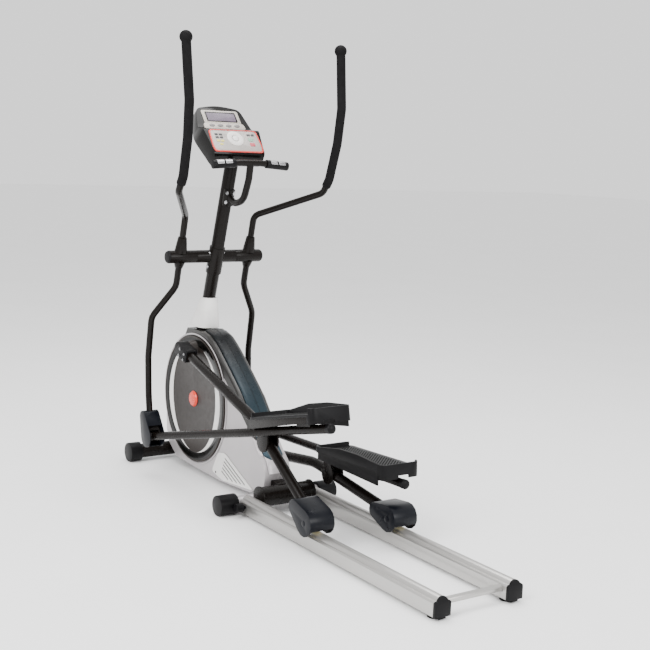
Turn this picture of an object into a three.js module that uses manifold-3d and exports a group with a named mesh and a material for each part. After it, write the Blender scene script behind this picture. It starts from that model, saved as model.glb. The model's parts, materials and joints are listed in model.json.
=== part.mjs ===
// Elliptical trainer, rear-rail type: two discs on one crank axle drive two roller arms,
// whose rear ends roll on aluminium rails. Pedal arms hang from swinging handlebars and
// ride on the roller arms. A belt takes the crank's turning to a braked flywheel.
//
// Millimetres. +X runs from the console to the rear end of the rails, +Z is up, and
// -Y is the rider's left. Inside this file x = 0 lies near the crank; at the end the group
// is moved so that the origin is at the middle of the footprint, on the floor.
import * as THREE from "three";
import { ConvexGeometry } from "three/addons/geometries/ConvexGeometry.js";
import { mergeVertices } from "three/addons/utils/BufferGeometryUtils.js";
import Module from "manifold-3d";

const wasm = await Module();
wasm.setup();

// ---- Driving dimensions ----------------------------------------------------------------

const SEAT_GAP = 0.3; // between two pieces that touch
const RUN_GAP = 0.6; // between two pieces that turn past each other

// Crank, discs and belt drive
const CRANK_X = -158;
const CRANK_Z = 302;
const CRANK_THROW = 204;
const CRANK_ANGLE = 90.8; // left pin, degrees up from +X
const DISC_RADIUS = 252;
const DISC_FACE_Y = 60;
const DISC_THICKNESS = 5;
const DISC_RIM_WIDTH = 7;
const DISC_RIM_HEIGHT = 2;
const DISC_CAP_RADIUS = 32;
const DISC_CAP_HEIGHT = 8;
const CRANK_BOSS_RADIUS = 26;
const CRANK_PIN_Y = 112; // middle plane of the crank bearing
const CRANK_BEARING_WIDTH = 44;
const CRANK_BEARING_RADIUS = 29;
const AXLE_RADIUS = 10;
const SHELL_RADIUS = 30; // bearing shell in the frame
const SHELL_HALF_LENGTH = 30;
const BEARING_RADIUS = 24;
const BEARING_WIDTH = 12;
const PULLEY_RADIUS = 140;
const PULLEY_WIDTH = 12;
const PULLEY_INNER_Y = 35;
const BELT_THICKNESS = 3;
const BELT_WIDTH = 9;
const FLYWHEEL_X = 150;
const FLYWHEEL_Z = 225;
const FLYWHEEL_RADIUS = 98;
const FLYWHEEL_WIDTH = 32;
const FLYWHEEL_PULLEY_RADIUS = 26;
const FLYWHEEL_AXLE_RADIUS = 6;
const IDLER_RADIUS = 17;
const IDLER_SHARE = 0.74; // of the way from the crank to the flywheel
const MAGNET_GAP = 3;
const MAGNET_BRACKET_THICKNESS = 7;

// Frame, stabilisers and rails
const FRONT_STABILISER_X = -420;
const FRONT_STABILISER_RADIUS = 29;
const FRONT_STABILISER_HALF_LENGTH = 216;
const FRONT_CAP_RADIUS = 39;
const FRONT_CAP_LENGTH = 51;
const MID_STABILISER_X = 387;
const MID_STABILISER_RADIUS = 25;
const MID_STABILISER_HALF_LENGTH = 241;
const MID_CAP_RADIUS = 37;
const MID_CAP_LENGTH = 73;
const CAP_END_THICKNESS = 4;
const BEAM_HALF_WIDTH = 25;
const BEAM_HEIGHT = 36;
const UPRIGHT_WALL = 4.6; // from the post it carries to its outside
const UPRIGHT_TOP_Z = 640;
const CROSS_TUBE_X = 447;
const CROSS_TUBE_Z = 66;
const CROSS_TUBE_RADIUS = 36;
const CROSS_TUBE_FLANGE_RADIUS = 40;
const CROSS_TUBE_FLANGE_THICKNESS = 6;
const RAIL_Y = 137;
const RAIL_HALF_WIDTH = 28;
const RAIL_BOTTOM_Z = 12;
const RAIL_SHOULDER_Z = 57;
const RAIL_RIDGE_RADIUS = 18;
const RAIL_TOP_Z = 71.5;
const RAIL_REAR_X = 1506;
const RAIL_CAP_THICKNESS = 10;
const RAIL_CAP_PLUG = 12;
const RAIL_WALL = 3.5;
const FOOT_RADIUS = 19;
const FOOT_INSET = 28; // from the rail's rear end to the middle of the foot
const FOOT_HEIGHT = 11.7;
const REAR_ROD_X = 1480;
const REAR_ROD_Z = 42;
const REAR_ROD_RADIUS = 11;
const KNOB_X = 446;
const KNOB_Z = 38;
const KNOB_RADIUS = 17;
const KNOB_LENGTH = 26;
const KNOB_STEM_RADIUS = 6;
const KNOB_STEM_LENGTH = 12;

// Post, swing pivot, console and pulse bar
const POST_RADIUS = 25.4;
const UPRIGHT_RADIUS = POST_RADIUS + UPRIGHT_WALL;
const POST_FOOT_X = -163.5;
const POST_FOOT_Z = 702;
const POST_SLOPE = 0.29; // rearward run for each unit of height
const POST_BOTTOM_Z = 482;
const POST_TOP_Z = 1262;
const PIVOT_X = -126;
const PIVOT_Z = 872;
const PIVOT_SHAFT_RADIUS = 17;
const PIVOT_SPACER_HALF_LENGTH = 85;
const HUB_RADIUS = 25;
const HUB_OUTER_Y = 199;
const PIVOT_CAP_THICKNESS = 7;
const CONSOLE_REACH = 40.1; // lowest edge of the console's face, behind the post's top
const CONSOLE_DROP = 24; // and below it
const CONSOLE_FOOT_X = POST_FOOT_X + POST_SLOPE * (POST_TOP_Z - POST_FOOT_Z) + CONSOLE_REACH;
const CONSOLE_FOOT_Z = POST_TOP_Z - CONSOLE_DROP;
const CONSOLE_TILT = 49.8; // the face's rise above the floor plane, degrees
const CONSOLE_LENGTH = 271;
const CONSOLE_HALF_WIDTH = 121;
const CONSOLE_DEPTH = 50;
const POD_HEIGHT = 37; // the keypad stands this far out from the screen's plane
const POD_TOP = 131; // its upper edge, up the face
const KEYPAD_THICKNESS = 2;
const BUTTON_UP = 85;
const BUTTON_RADIUS = 12;
const BUTTON_HEIGHT = 7;
const BUTTON_PROUD = 2.5;
const PULSE_BAR_REACH = 95; // behind the console's lowest edge
const PULSE_BAR_RISE = 3; // above it
const PULSE_BAR_X = CONSOLE_FOOT_X + PULSE_BAR_REACH;
const PULSE_BAR_Z = CONSOLE_FOOT_Z + PULSE_BAR_RISE;
const PULSE_BRACKET_DROP = 152; // from the post's top to the middle of the clamp
const PULSE_BRACKET_Z = POST_TOP_Z - PULSE_BRACKET_DROP;
const PULSE_BAR_DROP = 9;
const PULSE_BAR_RADIUS = 12;
const PULSE_GRIP_RADIUS = 16;
const PULSE_GRIP_INNER_Y = 66;
const PULSE_GRIP_OUTER_Y = 158;

// Swing arms and handlebars, each seen from the side at rest
const SWING_LEAN = 13.6; // degrees rearward of upright, at the hub
const SWING_LENGTH = 711.3; // from the pivot to the pedal-arm joint
const SWING_TUBE_RADIUS = 12.7;
const HUB_TUBE_Y = 150;
const LOWER_TUBE_Y = 226;
const LOWER_TUBE_LINE = [
  [-208, 631],
  [-232, 470],
  [-224, 330],
  [-209, 222],
];
const BOOT_LENGTH = 78;
const BOOT_TOP_RADIUS = 17;
const GRIP_RADIUS = 17;
const GRIP_BALL_RADIUS = 23;
const FORK_HALF_GAP = 19;
const FORK_PLATE = 6;
const FORK_RADIUS = 22;
const COVER_WALL = 3;
const COVER_HALF_WIDTH = 32;

// Roller arms: lengths along the chord from crank pin to roller, and heights above it
const ROLLER_ARM_LENGTH = 1094.1;
const ROLLER_ARM_BEND = [605.1, 71.1];
const ROLLER_ARM_BEND_Y = 124;
const ROLLER_ARM_RADIUS = 19;
const SADDLE = [712.5, 99.1]; // pivot under the pedal arm
const SADDLE_PLATE = 6;
const SADDLE_RADIUS = 20;
const SADDLE_BUSH_RADIUS = 14;
const ROLLER_RADIUS = 27;
const ROLLER_HALF_WIDTH = 27;
const ROLLER_STUB_RADIUS = 8;
const ROLLER_HOUSING_RADIUS = 45;
const ROLLER_HOUSING_HALF_WIDTH = 47;
const ROLLER_HOUSING_WALL = 5;
const BRACKET_LENGTH = 78;
const BRACKET_HALF = 25;

// Pedal arms and pedals: lengths along the arm from its front joint, heights above it
const PEDAL_ARM_REACH = 735; // to the saddle pivot
const PEDAL_ARM_END = 1140;
const PEDAL_ARM_RADIUS = 15.5;
const PEDAL_ARM_BEND = [700, 204]; // where the tube starts to turn inward: length, |y|
const PEDAL_ARM_REAR = [890, 149]; // where it runs straight again
const PEDAL_ARM_END_Y = 142;
const PEDAL_START = 731;
const PEDAL_LENGTH = 403;
const PEDAL_INNER_Y = 50;
const PEDAL_OUTER_Y = 208;
const PEDAL_BASE_HEIGHT = 44;
const PEDAL_BASE_THICKNESS = 12;
const PEDAL_TREAD_DEPTH = 4;
const PEDAL_WALL = 6;
const PEDAL_TOE_HEIGHT = 22;
const PEDAL_HEEL_HEIGHT = 25;
const PEDAL_SIDE_HEIGHT = 38;
const PEDAL_SKIRT = 22; // how far the walls hang below the base
const HEEL_NOTCH_HALF_WIDTH = 22;
const SUPPORT_PLATE = 5;
const SUPPORT_FLANGE_FRONT = 31;
const SUPPORT_FLANGE_REAR = 19;

// Housing
const HOUSING_FACE_Y = 54;
const HOUSING_WALL = 3;
const SPINE_HALF_WIDTH = 40;
const SPINE_RISE = 10;
const RIM_WIDTH = 6;
const RIM_HEIGHT = 4;
const COLLAR_TOP_Z = 706;
const COLLAR_TOP_RADIUS = 33;
const COLLAR_HALF_LENGTH = 70;
const COLLAR_HALF_WIDTH = 47;

// ---- Small geometry library --------------------------------------------------------------

const V3 = (x, y, z) => new THREE.Vector3(x, y, z);
const radians = THREE.MathUtils.degToRad;

function solidOf(geometry) {
  const bare = geometry.index ? geometry.toNonIndexed() : geometry.clone();
  bare.deleteAttribute("normal");
  bare.deleteAttribute("uv");
  const merged = mergeVertices(bare, 1e-4);
  const vertProperties = merged.attributes.position.array;
  const triVerts = new Uint32Array(merged.index.array);
  return new wasm.Manifold(new wasm.Mesh({ numProp: 3, vertProperties, triVerts }));
}

function geometryOf(solid) {
  const mesh = solid.getMesh();
  const geometry = new THREE.BufferGeometry();
  geometry.setAttribute("position", new THREE.BufferAttribute(mesh.vertProperties, 3));
  geometry.setIndex(new THREE.BufferAttribute(mesh.triVerts, 1));
  const faceted = geometry.toNonIndexed();
  faceted.computeVertexNormals();
  return faceted;
}

const join = (...solids) => solids.reduce((sum, next) => sum.add(next));
const cut = (body, ...tools) => tools.reduce((rest, tool) => rest.subtract(tool), body);

// A round bar along Y, between the planes y = a and y = b.
function barY(radius, a, b, x, z, sides = 20) {
  const geometry = new THREE.CylinderGeometry(radius, radius, Math.abs(b - a), sides);
  return solidOf(geometry.translate(x, (a + b) / 2, z));
}

// A round bar from one point to another; its radius may change along it.
function bar(from, to, radius, endRadius = radius, sides = 20) {
  const way = to.clone().sub(from);
  const geometry = new THREE.CylinderGeometry(endRadius, radius, way.length(), sides);
  const turn = new THREE.Quaternion().setFromUnitVectors(V3(0, 1, 0), way.clone().normalize());
  geometry.applyQuaternion(turn);
  const middle = from.clone().add(to).multiplyScalar(0.5);
  return solidOf(geometry.translate(middle.x, middle.y, middle.z));
}

function box(x0, x1, y0, y1, z0, z1) {
  const geometry = new THREE.BoxGeometry(x1 - x0, Math.abs(y1 - y0), z1 - z0);
  return solidOf(geometry.translate((x0 + x1) / 2, (y0 + y1) / 2, (z0 + z1) / 2));
}

// An outline through the given corners, each rounded by the radius where its sides allow it.
function outline(corners, radius = 0) {
  const points = corners.map(([a, b]) => new THREE.Vector2(a, b));
  const shape = new THREE.Shape();
  points.forEach((corner, i) => {
    const before = points[(i + points.length - 1) % points.length];
    const after = points[(i + 1) % points.length];
    const room = 0.45 * Math.min(corner.distanceTo(before), corner.distanceTo(after));
    const trim = Math.min(radius, room);
    const enter = corner.clone().add(before.clone().sub(corner).setLength(trim));
    const leave = corner.clone().add(after.clone().sub(corner).setLength(trim));
    if (i === 0) shape.moveTo(enter.x, enter.y);
    else shape.lineTo(enter.x, enter.y);
    if (trim > 0) shape.quadraticCurveTo(corner.x, corner.y, leave.x, leave.y);
  });
  shape.closePath();
  return shape;
}

// A plate whose outline is drawn in X and Z, between the planes y = a and y = b.
function plateXZ(shape, a, b, curveSegments = 4) {
  const settings = { depth: Math.abs(b - a), bevelEnabled: false, curveSegments };
  const geometry = new THREE.ExtrudeGeometry(shape, settings);
  return solidOf(geometry.rotateX(Math.PI / 2).translate(0, Math.max(a, b), 0));
}

// The outline round two circles and the straight lines that touch both.
function capsuleCorners(a, radiusA, b, radiusB, steps = 10) {
  const heading = Math.atan2(b[1] - a[1], b[0] - a[0]);
  const lean = Math.acos((radiusA - radiusB) / Math.hypot(b[0] - a[0], b[1] - a[1]));
  const corners = [];
  for (let i = 0; i <= steps; i++) {
    const angle = heading + lean + ((2 * Math.PI - 2 * lean) * i) / steps;
    corners.push([a[0] + radiusA * Math.cos(angle), a[1] + radiusA * Math.sin(angle)]);
  }
  for (let i = 0; i <= steps; i++) {
    const angle = heading - lean + (2 * lean * i) / steps;
    corners.push([b[0] + radiusB * Math.cos(angle), b[1] + radiusB * Math.sin(angle)]);
  }
  return corners;
}

const BEND_STEP = radians(17); // turn taken by each facet of a bend

// A path of straight runs joined by round bends, met exactly at its own stations.
class BentPath extends THREE.Curve {
  constructor(corners, bendRadius) {
    super();
    this.stations = [corners[0].clone()];
    for (let i = 1; i < corners.length - 1; i++) {
      const into = corners[i].clone().sub(corners[i - 1]);
      const outOf = corners[i + 1].clone().sub(corners[i]);
      const turn = into.angleTo(outOf);
      const room = 0.45 * Math.min(into.length(), outOf.length());
      const trim = Math.min(bendRadius * Math.tan(turn / 2), room);
      const enter = corners[i].clone().sub(into.setLength(trim));
      const leave = corners[i].clone().add(outOf.setLength(trim));
      const bend = new THREE.QuadraticBezierCurve3(enter, corners[i], leave);
      this.stations.push(...bend.getPoints(Math.max(1, Math.round(turn / BEND_STEP))));
    }
    this.stations.push(corners[corners.length - 1].clone());
  }
  get steps() {
    return this.stations.length - 1;
  }
  getPoint(t, target = new THREE.Vector3()) {
    const place = Math.min(t, 1) * this.steps;
    const index = Math.min(Math.floor(place + 1e-9), this.steps - 1);
    return target.lerpVectors(this.stations[index], this.stations[index + 1], place - index);
  }
  getPointAt(u, target) {
    return this.getPoint(u, target);
  }
  getTangentAt(u, target = new THREE.Vector3()) {
    const index = Math.round(u * this.steps);
    const ahead = this.stations[Math.min(index + 1, this.steps)];
    const behind = this.stations[Math.max(index - 1, 0)];
    return target.copy(ahead).sub(behind).normalize();
  }
}

function tubeAlong(corners, bendRadius, radius, sides = 12) {
  const path = new BentPath(corners, bendRadius);
  const section = new THREE.Shape();
  for (let i = 0; i < sides; i++) {
    const angle = (2 * Math.PI * i) / sides;
    const point = [radius * Math.cos(angle), radius * Math.sin(angle)];
    if (i === 0) section.moveTo(...point);
    else section.lineTo(...point);
  }
  section.closePath();
  const settings = { steps: path.steps, extrudePath: path, bevelEnabled: false };
  return solidOf(new THREE.ExtrudeGeometry(section, settings));
}

// The same polyline moved sideways, to its left, by the distance.
function offsetLine(points, distance) {
  return points.map((point, i) => {
    const before = points[Math.max(i - 1, 0)];
    const after = points[Math.min(i + 1, points.length - 1)];
    const run = [after[0] - before[0], after[1] - before[1]];
    const length = Math.hypot(...run);
    return [point[0] - (distance * run[1]) / length, point[1] + (distance * run[0]) / length];
  });
}

function offsetLoop(points, distance) {
  return points.map((point, i) => {
    const before = points[(i + points.length - 1) % points.length];
    const after = points[(i + 1) % points.length];
    const into = new THREE.Vector2(point[0] - before[0], point[1] - before[1]).normalize();
    const outOf = new THREE.Vector2(after[0] - point[0], after[1] - point[1]).normalize();
    const normal = new THREE.Vector2(-into.y - outOf.y, into.x + outOf.x).normalize();
    const stretch = distance / Math.max(0.5, normal.dot(new THREE.Vector2(-into.y, into.x)));
    return [point[0] + normal.x * stretch, point[1] + normal.y * stretch];
  });
}

// A local frame in a side view: lengths along a heading and heights above it.
function sideFrame(origin, heading) {
  const along = [Math.cos(heading), Math.sin(heading)];
  return (s, t) => [
    origin[0] + s * along[0] - t * along[1],
    origin[1] + s * along[1] + t * along[0],
  ];
}

// ---- Materials and assembly ---------------------------------------------------------------

const paint = {
  blackPaint: { color: 0x211e1d, roughness: 0.42, metalness: 0.35 },
  glossBlack: { color: 0x0c0c0e, roughness: 0.2, metalness: 0.1 },
  blackPlastic: { color: 0x1b1d20, roughness: 0.55, metalness: 0 },
  foam: { color: 0x17171a, roughness: 0.8, metalness: 0 },
  silverPlastic: { color: 0xbdb9ba, roughness: 0.45, metalness: 0.15 },
  whitePlastic: { color: 0xe4e3e0, roughness: 0.4, metalness: 0.05 },
  spinePlastic: { color: 0x2f3d42, roughness: 0.4, metalness: 0.1 },
  discPlastic: { color: 0x5a524e, roughness: 0.4, metalness: 0.1 },
  redPlastic: { color: 0xf0492a, roughness: 0.35, metalness: 0 },
  aluminium: { color: 0xc9c6c1, roughness: 0.35, metalness: 0.9 },
  steel: { color: 0x9b9da0, roughness: 0.35, metalness: 0.9 },
  castIron: { color: 0x4a4b4d, roughness: 0.6, metalness: 0.7 },
  creamPlastic: { color: 0xe6dfb4, roughness: 0.5, metalness: 0 },
  beltRubber: { color: 0x18181a, roughness: 0.85, metalness: 0 },
  panelGrey: { color: 0xb9b4ab, roughness: 0.4, metalness: 0.1 },
};

const trainer = new THREE.Group();

function add(name, solid, look) {
  const mesh = new THREE.Mesh(geometryOf(solid), new THREE.MeshStandardMaterial(look));
  mesh.name = name;
  trainer.add(mesh);
}

const SIDES = [
  { name: "left", sign: -1, crankAngle: radians(CRANK_ANGLE) },
  { name: "right", sign: 1, crankAngle: radians(CRANK_ANGLE) + Math.PI },
];

// ---- Derived places ---------------------------------------------------------------------

const postX = (z) => POST_FOOT_X + POST_SLOPE * (z - POST_FOOT_Z);
const onPost = (z) => V3(postX(z), 0, z);
const FRONT_STABILISER_Z = FRONT_CAP_RADIUS;
const MID_STABILISER_Z = MID_CAP_RADIUS;
const BEAM_BOTTOM_Z = FRONT_STABILISER_Z + FRONT_STABILISER_RADIUS + SEAT_GAP;
const BEAM_TOP_Z = BEAM_BOTTOM_Z + BEAM_HEIGHT;
const RAIL_FRONT_X = MID_STABILISER_X + MID_STABILISER_RADIUS + SEAT_GAP;
const ROLLER_Z = RAIL_TOP_Z + SEAT_GAP + ROLLER_RADIUS;
const DISC_BACK_Y = DISC_FACE_Y - DISC_THICKNESS;
const CRANK_BEARING_INNER_Y = CRANK_PIN_Y - CRANK_BEARING_WIDTH / 2;
const PULLEY_MIDDLE_Y = PULLEY_INNER_Y + PULLEY_WIDTH / 2;
const BELT_GAP = 2 * SEAT_GAP; // between the belt and its pulleys

// The idler presses on the outside of the belt's lower run.
const IDLER_PLACE = (() => {
  const crank = new THREE.Vector2(CRANK_X, CRANK_Z);
  const flywheel = new THREE.Vector2(FLYWHEEL_X, FLYWHEEL_Z);
  const run = flywheel.clone().sub(crank);
  const lean = Math.acos((PULLEY_RADIUS - FLYWHEEL_PULLEY_RADIUS) / run.length());
  const angle = run.angle() - lean;
  const outward = new THREE.Vector2(Math.cos(angle), Math.sin(angle));
  const onCrank = crank.addScaledVector(outward, PULLEY_RADIUS);
  const onFlywheel = flywheel.addScaledVector(outward, FLYWHEEL_PULLEY_RADIUS);
  const centre = onCrank.lerp(onFlywheel, IDLER_SHARE);
  return centre.addScaledVector(outward, IDLER_RADIUS + 2 * BELT_GAP + BELT_THICKNESS).toArray();
})();

// Where two circles in a side view meet, on the side given by turn.
function circlesMeet(a, radiusA, b, radiusB, turn) {
  const gap = Math.hypot(b[0] - a[0], b[1] - a[1]);
  const run = (radiusA ** 2 - radiusB ** 2 + gap ** 2) / (2 * gap);
  const rise = turn * Math.sqrt(radiusA ** 2 - run ** 2);
  const along = [(b[0] - a[0]) / gap, (b[1] - a[1]) / gap];
  return [a[0] + run * along[0] - rise * along[1], a[1] + run * along[1] + rise * along[0]];
}

// The closed linkage of one side, for the given crank angle.
function linkage(crankAngle) {
  const pin = [
    CRANK_X + CRANK_THROW * Math.cos(crankAngle),
    CRANK_Z + CRANK_THROW * Math.sin(crankAngle),
  ];
  const drop = ROLLER_Z - pin[1];
  const roller = [pin[0] + Math.sqrt(ROLLER_ARM_LENGTH ** 2 - drop ** 2), ROLLER_Z];
  const rollerArm = sideFrame(pin, Math.atan2(drop, roller[0] - pin[0]));
  const saddle = rollerArm(...SADDLE);
  const pivot = [PIVOT_X, PIVOT_Z];
  const joint = circlesMeet(saddle, PEDAL_ARM_REACH, pivot, SWING_LENGTH, 1);
  const pedalAngle = Math.atan2(saddle[1] - joint[1], saddle[0] - joint[0]);
  const pedalArm = sideFrame(joint, pedalAngle);
  return { pin, roller, rollerArm, saddle, joint, pedalAngle, pedalArm };
}

// ---- Frame ----------------------------------------------------------------------------------

const uprightBar = bar(onPost(BEAM_BOTTOM_Z + 10), onPost(UPRIGHT_TOP_Z), UPRIGHT_RADIUS);
const beam = box(
  FRONT_STABILISER_X - FRONT_STABILISER_RADIUS + 4,
  CROSS_TUBE_X,
  -BEAM_HALF_WIDTH,
  BEAM_HALF_WIDTH,
  BEAM_BOTTOM_Z,
  BEAM_TOP_Z,
);
const midSaddle = box(
  MID_STABILISER_X - 18,
  MID_STABILISER_X + 18,
  -BEAM_HALF_WIDTH,
  BEAM_HALF_WIDTH,
  MID_STABILISER_Z + MID_STABILISER_RADIUS + SEAT_GAP,
  BEAM_BOTTOM_Z + 2,
);
const shellBar = barY(SHELL_RADIUS, -SHELL_HALF_LENGTH, SHELL_HALF_LENGTH, CRANK_X, CRANK_Z);
const gusset = plateXZ(
  outline([
    [postX(BEAM_TOP_Z), BEAM_TOP_Z - 4],
    [CRANK_X + 60, BEAM_TOP_Z - 4],
    [CRANK_X + 22, CRANK_Z - 10],
    [CRANK_X - 10, CRANK_Z + 24],
    [postX(CRANK_Z + 80), CRANK_Z + 80],
  ]),
  -9,
  9,
);
const forkInnerY = FLYWHEEL_WIDTH / 2 + 4;
const forkPlates = [-1, 1].map((sign) =>
  plateXZ(
    outline(
      capsuleCorners([FLYWHEEL_X, FLYWHEEL_Z], 16, [FLYWHEEL_X, BEAM_TOP_Z - 14], 26, 8),
    ),
    sign * forkInnerY,
    sign * (forkInnerY + 5),
  ),
);
const crossTube = barY(
  CROSS_TUBE_RADIUS,
  -(RAIL_Y - RAIL_HALF_WIDTH - SEAT_GAP - 2),
  RAIL_Y - RAIL_HALF_WIDTH - SEAT_GAP - 2,
  CROSS_TUBE_X,
  CROSS_TUBE_Z,
);
const crossFlanges = [-1, 1].map((sign) => {
  const outer = RAIL_Y - RAIL_HALF_WIDTH - SEAT_GAP;
  return barY(
    CROSS_TUBE_FLANGE_RADIUS,
    sign * (outer - CROSS_TUBE_FLANGE_THICKNESS),
    sign * outer,
    CROSS_TUBE_X,
    CROSS_TUBE_Z,
  );
});
const bearingSeats = [-1, 1].map((sign) =>
  barY(
    BEARING_RADIUS + SEAT_GAP,
    sign * (SHELL_HALF_LENGTH - BEARING_WIDTH - SEAT_GAP),
    sign * (SHELL_HALF_LENGTH + 1),
    CRANK_X,
    CRANK_Z,
  ),
);
const idlerStub = barY(
  FLYWHEEL_AXLE_RADIUS,
  forkInnerY + 2,
  PULLEY_INNER_Y + PULLEY_WIDTH,
  ...IDLER_PLACE,
);
const idlerArm = plateXZ(
  outline(capsuleCorners(IDLER_PLACE, 12, [FLYWHEEL_X - 6, BEAM_TOP_Z - 8], 14, 8)),
  forkInnerY,
  forkInnerY + 5,
);
add(
  "main_frame",
  cut(
    join(
      beam,
      midSaddle,
      uprightBar,
      shellBar,
      gusset,
      ...forkPlates,
      crossTube,
      ...crossFlanges,
      idlerStub,
      idlerArm,
    ),
    bar(onPost(POST_BOTTOM_Z - 2), onPost(UPRIGHT_TOP_Z + 10), POST_RADIUS + SEAT_GAP + 0.2),
    barY(AXLE_RADIUS + 2, -60, 60, CRANK_X, CRANK_Z),
    ...bearingSeats,
    barY(FLYWHEEL_AXLE_RADIUS + 0.2, -60, 60, FLYWHEEL_X, FLYWHEEL_Z, 16),
  ),
  paint.blackPaint,
);

add(
  "front_stabiliser",
  barY(
    FRONT_STABILISER_RADIUS,
    -FRONT_STABILISER_HALF_LENGTH,
    FRONT_STABILISER_HALF_LENGTH,
    FRONT_STABILISER_X,
    FRONT_STABILISER_Z,
  ),
  paint.blackPaint,
);
add(
  "mid_stabiliser",
  barY(
    MID_STABILISER_RADIUS,
    -MID_STABILISER_HALF_LENGTH,
    MID_STABILISER_HALF_LENGTH,
    MID_STABILISER_X,
    MID_STABILISER_Z,
  ),
  paint.aluminium,
);

function stabiliserCap(sign, x, radius, length, tubeRadius, tubeHalfLength) {
  const outerY = tubeHalfLength + SEAT_GAP + CAP_END_THICKNESS;
  const body = barY(radius, sign * (outerY - length), sign * outerY, x, radius, 24);
  const bore = barY(
    tubeRadius + SEAT_GAP + 0.2,
    0,
    sign * (tubeHalfLength + SEAT_GAP),
    x,
    radius,
    24,
  );
  return cut(body, bore);
}

for (const { name, sign } of SIDES) {
  add(
    `front_foot_cap_${name}`,
    stabiliserCap(
      sign,
      FRONT_STABILISER_X,
      FRONT_CAP_RADIUS,
      FRONT_CAP_LENGTH,
      FRONT_STABILISER_RADIUS,
      FRONT_STABILISER_HALF_LENGTH,
    ),
    paint.blackPlastic,
  );
  add(
    `mid_foot_cap_${name}`,
    stabiliserCap(
      sign,
      MID_STABILISER_X,
      MID_CAP_RADIUS,
      MID_CAP_LENGTH,
      MID_STABILISER_RADIUS,
      MID_STABILISER_HALF_LENGTH,
    ),
    paint.blackPlastic,
  );
}

// ---- Rails ------------------------------------------------------------------------------------

function railSection(grow) {
  const half = RAIL_HALF_WIDTH + grow;
  const ridgeZ = RAIL_TOP_Z - RAIL_RIDGE_RADIUS;
  const ridgeRadius = RAIL_RIDGE_RADIUS + grow;
  const shoulderZ = RAIL_SHOULDER_Z + grow;
  const start = Math.asin((shoulderZ - ridgeZ) / ridgeRadius);
  const shape = new THREE.Shape();
  shape.moveTo(-half, RAIL_BOTTOM_Z - grow);
  shape.lineTo(half, RAIL_BOTTOM_Z - grow);
  shape.lineTo(half, shoulderZ - 5);
  shape.lineTo(half - 5, shoulderZ);
  shape.absarc(0, ridgeZ, ridgeRadius, start, Math.PI - start, false);
  shape.lineTo(-half + 5, shoulderZ);
  shape.lineTo(-half, shoulderZ - 5);
  shape.closePath();
  return shape;
}

// The rail's section, drawn in Y and Z, carried along X.
function alongX(shape, x0, x1, y, curveSegments = 6) {
  const settings = { depth: x1 - x0, bevelEnabled: false, curveSegments };
  const geometry = new THREE.ExtrudeGeometry(shape, settings);
  geometry.rotateX(Math.PI / 2).rotateZ(Math.PI / 2);
  return solidOf(geometry.translate(x0, y, 0));
}

const capRear = RAIL_REAR_X + SEAT_GAP + RAIL_CAP_THICKNESS;
const footX = RAIL_REAR_X - FOOT_INSET;
const rodHalfLength = RAIL_Y + RAIL_RIDGE_RADIUS - RAIL_WALL;
for (const { name, sign } of SIDES) {
  const y = sign * RAIL_Y;
  const section = alongX(railSection(0), RAIL_FRONT_X, RAIL_REAR_X, y);
  const bore = alongX(railSection(-RAIL_WALL), RAIL_FRONT_X - 1, RAIL_REAR_X + 1, y);
  const knobHole = barY(
    KNOB_STEM_RADIUS + SEAT_GAP,
    y,
    y + sign * (RAIL_HALF_WIDTH + 5),
    KNOB_X,
    KNOB_Z,
    16,
  );
  const rodHole = barY(
    REAR_ROD_RADIUS + SEAT_GAP,
    y,
    y - sign * (RAIL_HALF_WIDTH + 5),
    REAR_ROD_X,
    REAR_ROD_Z,
  );
  const holes = sign < 0 ? [rodHole, knobHole] : [rodHole];
  add(`rail_${name}`, cut(section, bore, ...holes), paint.aluminium);

  // End cap: a plug in the rail, a chamfered end plate, and the foot on a tongue under the rail.
  const plate = alongX(railSection(1), RAIL_REAR_X + SEAT_GAP, capRear, y);
  const plug = alongX(
    railSection(-RAIL_WALL - SEAT_GAP),
    RAIL_REAR_X - RAIL_CAP_PLUG,
    RAIL_REAR_X + 1,
    y,
  );
  const chamfer = plateXZ(
    outline([
      [capRear - 6, RAIL_TOP_Z + 12],
      [capRear + 12, RAIL_TOP_Z + 12],
      [capRear + 12, RAIL_TOP_Z - 26],
      [capRear, RAIL_TOP_Z - 18],
    ]),
    y - 40,
    y + 40,
  );
  const footBar = bar(V3(footX, y, 0), V3(footX, y, FOOT_HEIGHT), FOOT_RADIUS + 2, FOOT_RADIUS);
  const tongue = box(footX, capRear - 2, y - 13, y + 13, FOOT_HEIGHT - 7, FOOT_HEIGHT);
  const toe = box(RAIL_REAR_X + SEAT_GAP, capRear - 2, y - 13, y + 13, FOOT_HEIGHT - 7, 16);
  add(
    `rail_cap_${name}`,
    join(cut(plate, chamfer), plug, footBar, tongue, toe),
    paint.blackPlastic,
  );
}

add(
  "rear_cross_rod",
  barY(REAR_ROD_RADIUS, -rodHalfLength, rodHalfLength, REAR_ROD_X, REAR_ROD_Z),
  paint.aluminium,
);

const knobStemY = -(RAIL_Y + RAIL_HALF_WIDTH);
add(
  "rail_knob",
  join(
    barY(
      KNOB_STEM_RADIUS,
      knobStemY + KNOB_STEM_LENGTH,
      knobStemY - KNOB_STEM_LENGTH,
      KNOB_X,
      KNOB_Z,
      16,
    ),
    barY(
      KNOB_RADIUS,
      knobStemY - KNOB_STEM_LENGTH + 2,
      knobStemY - KNOB_STEM_LENGTH - KNOB_LENGTH,
      KNOB_X,
      KNOB_Z,
      10,
    ),
  ),
  paint.blackPlastic,
);

// ---- Crank, belt drive and brake ---------------------------------------------------------------

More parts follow.
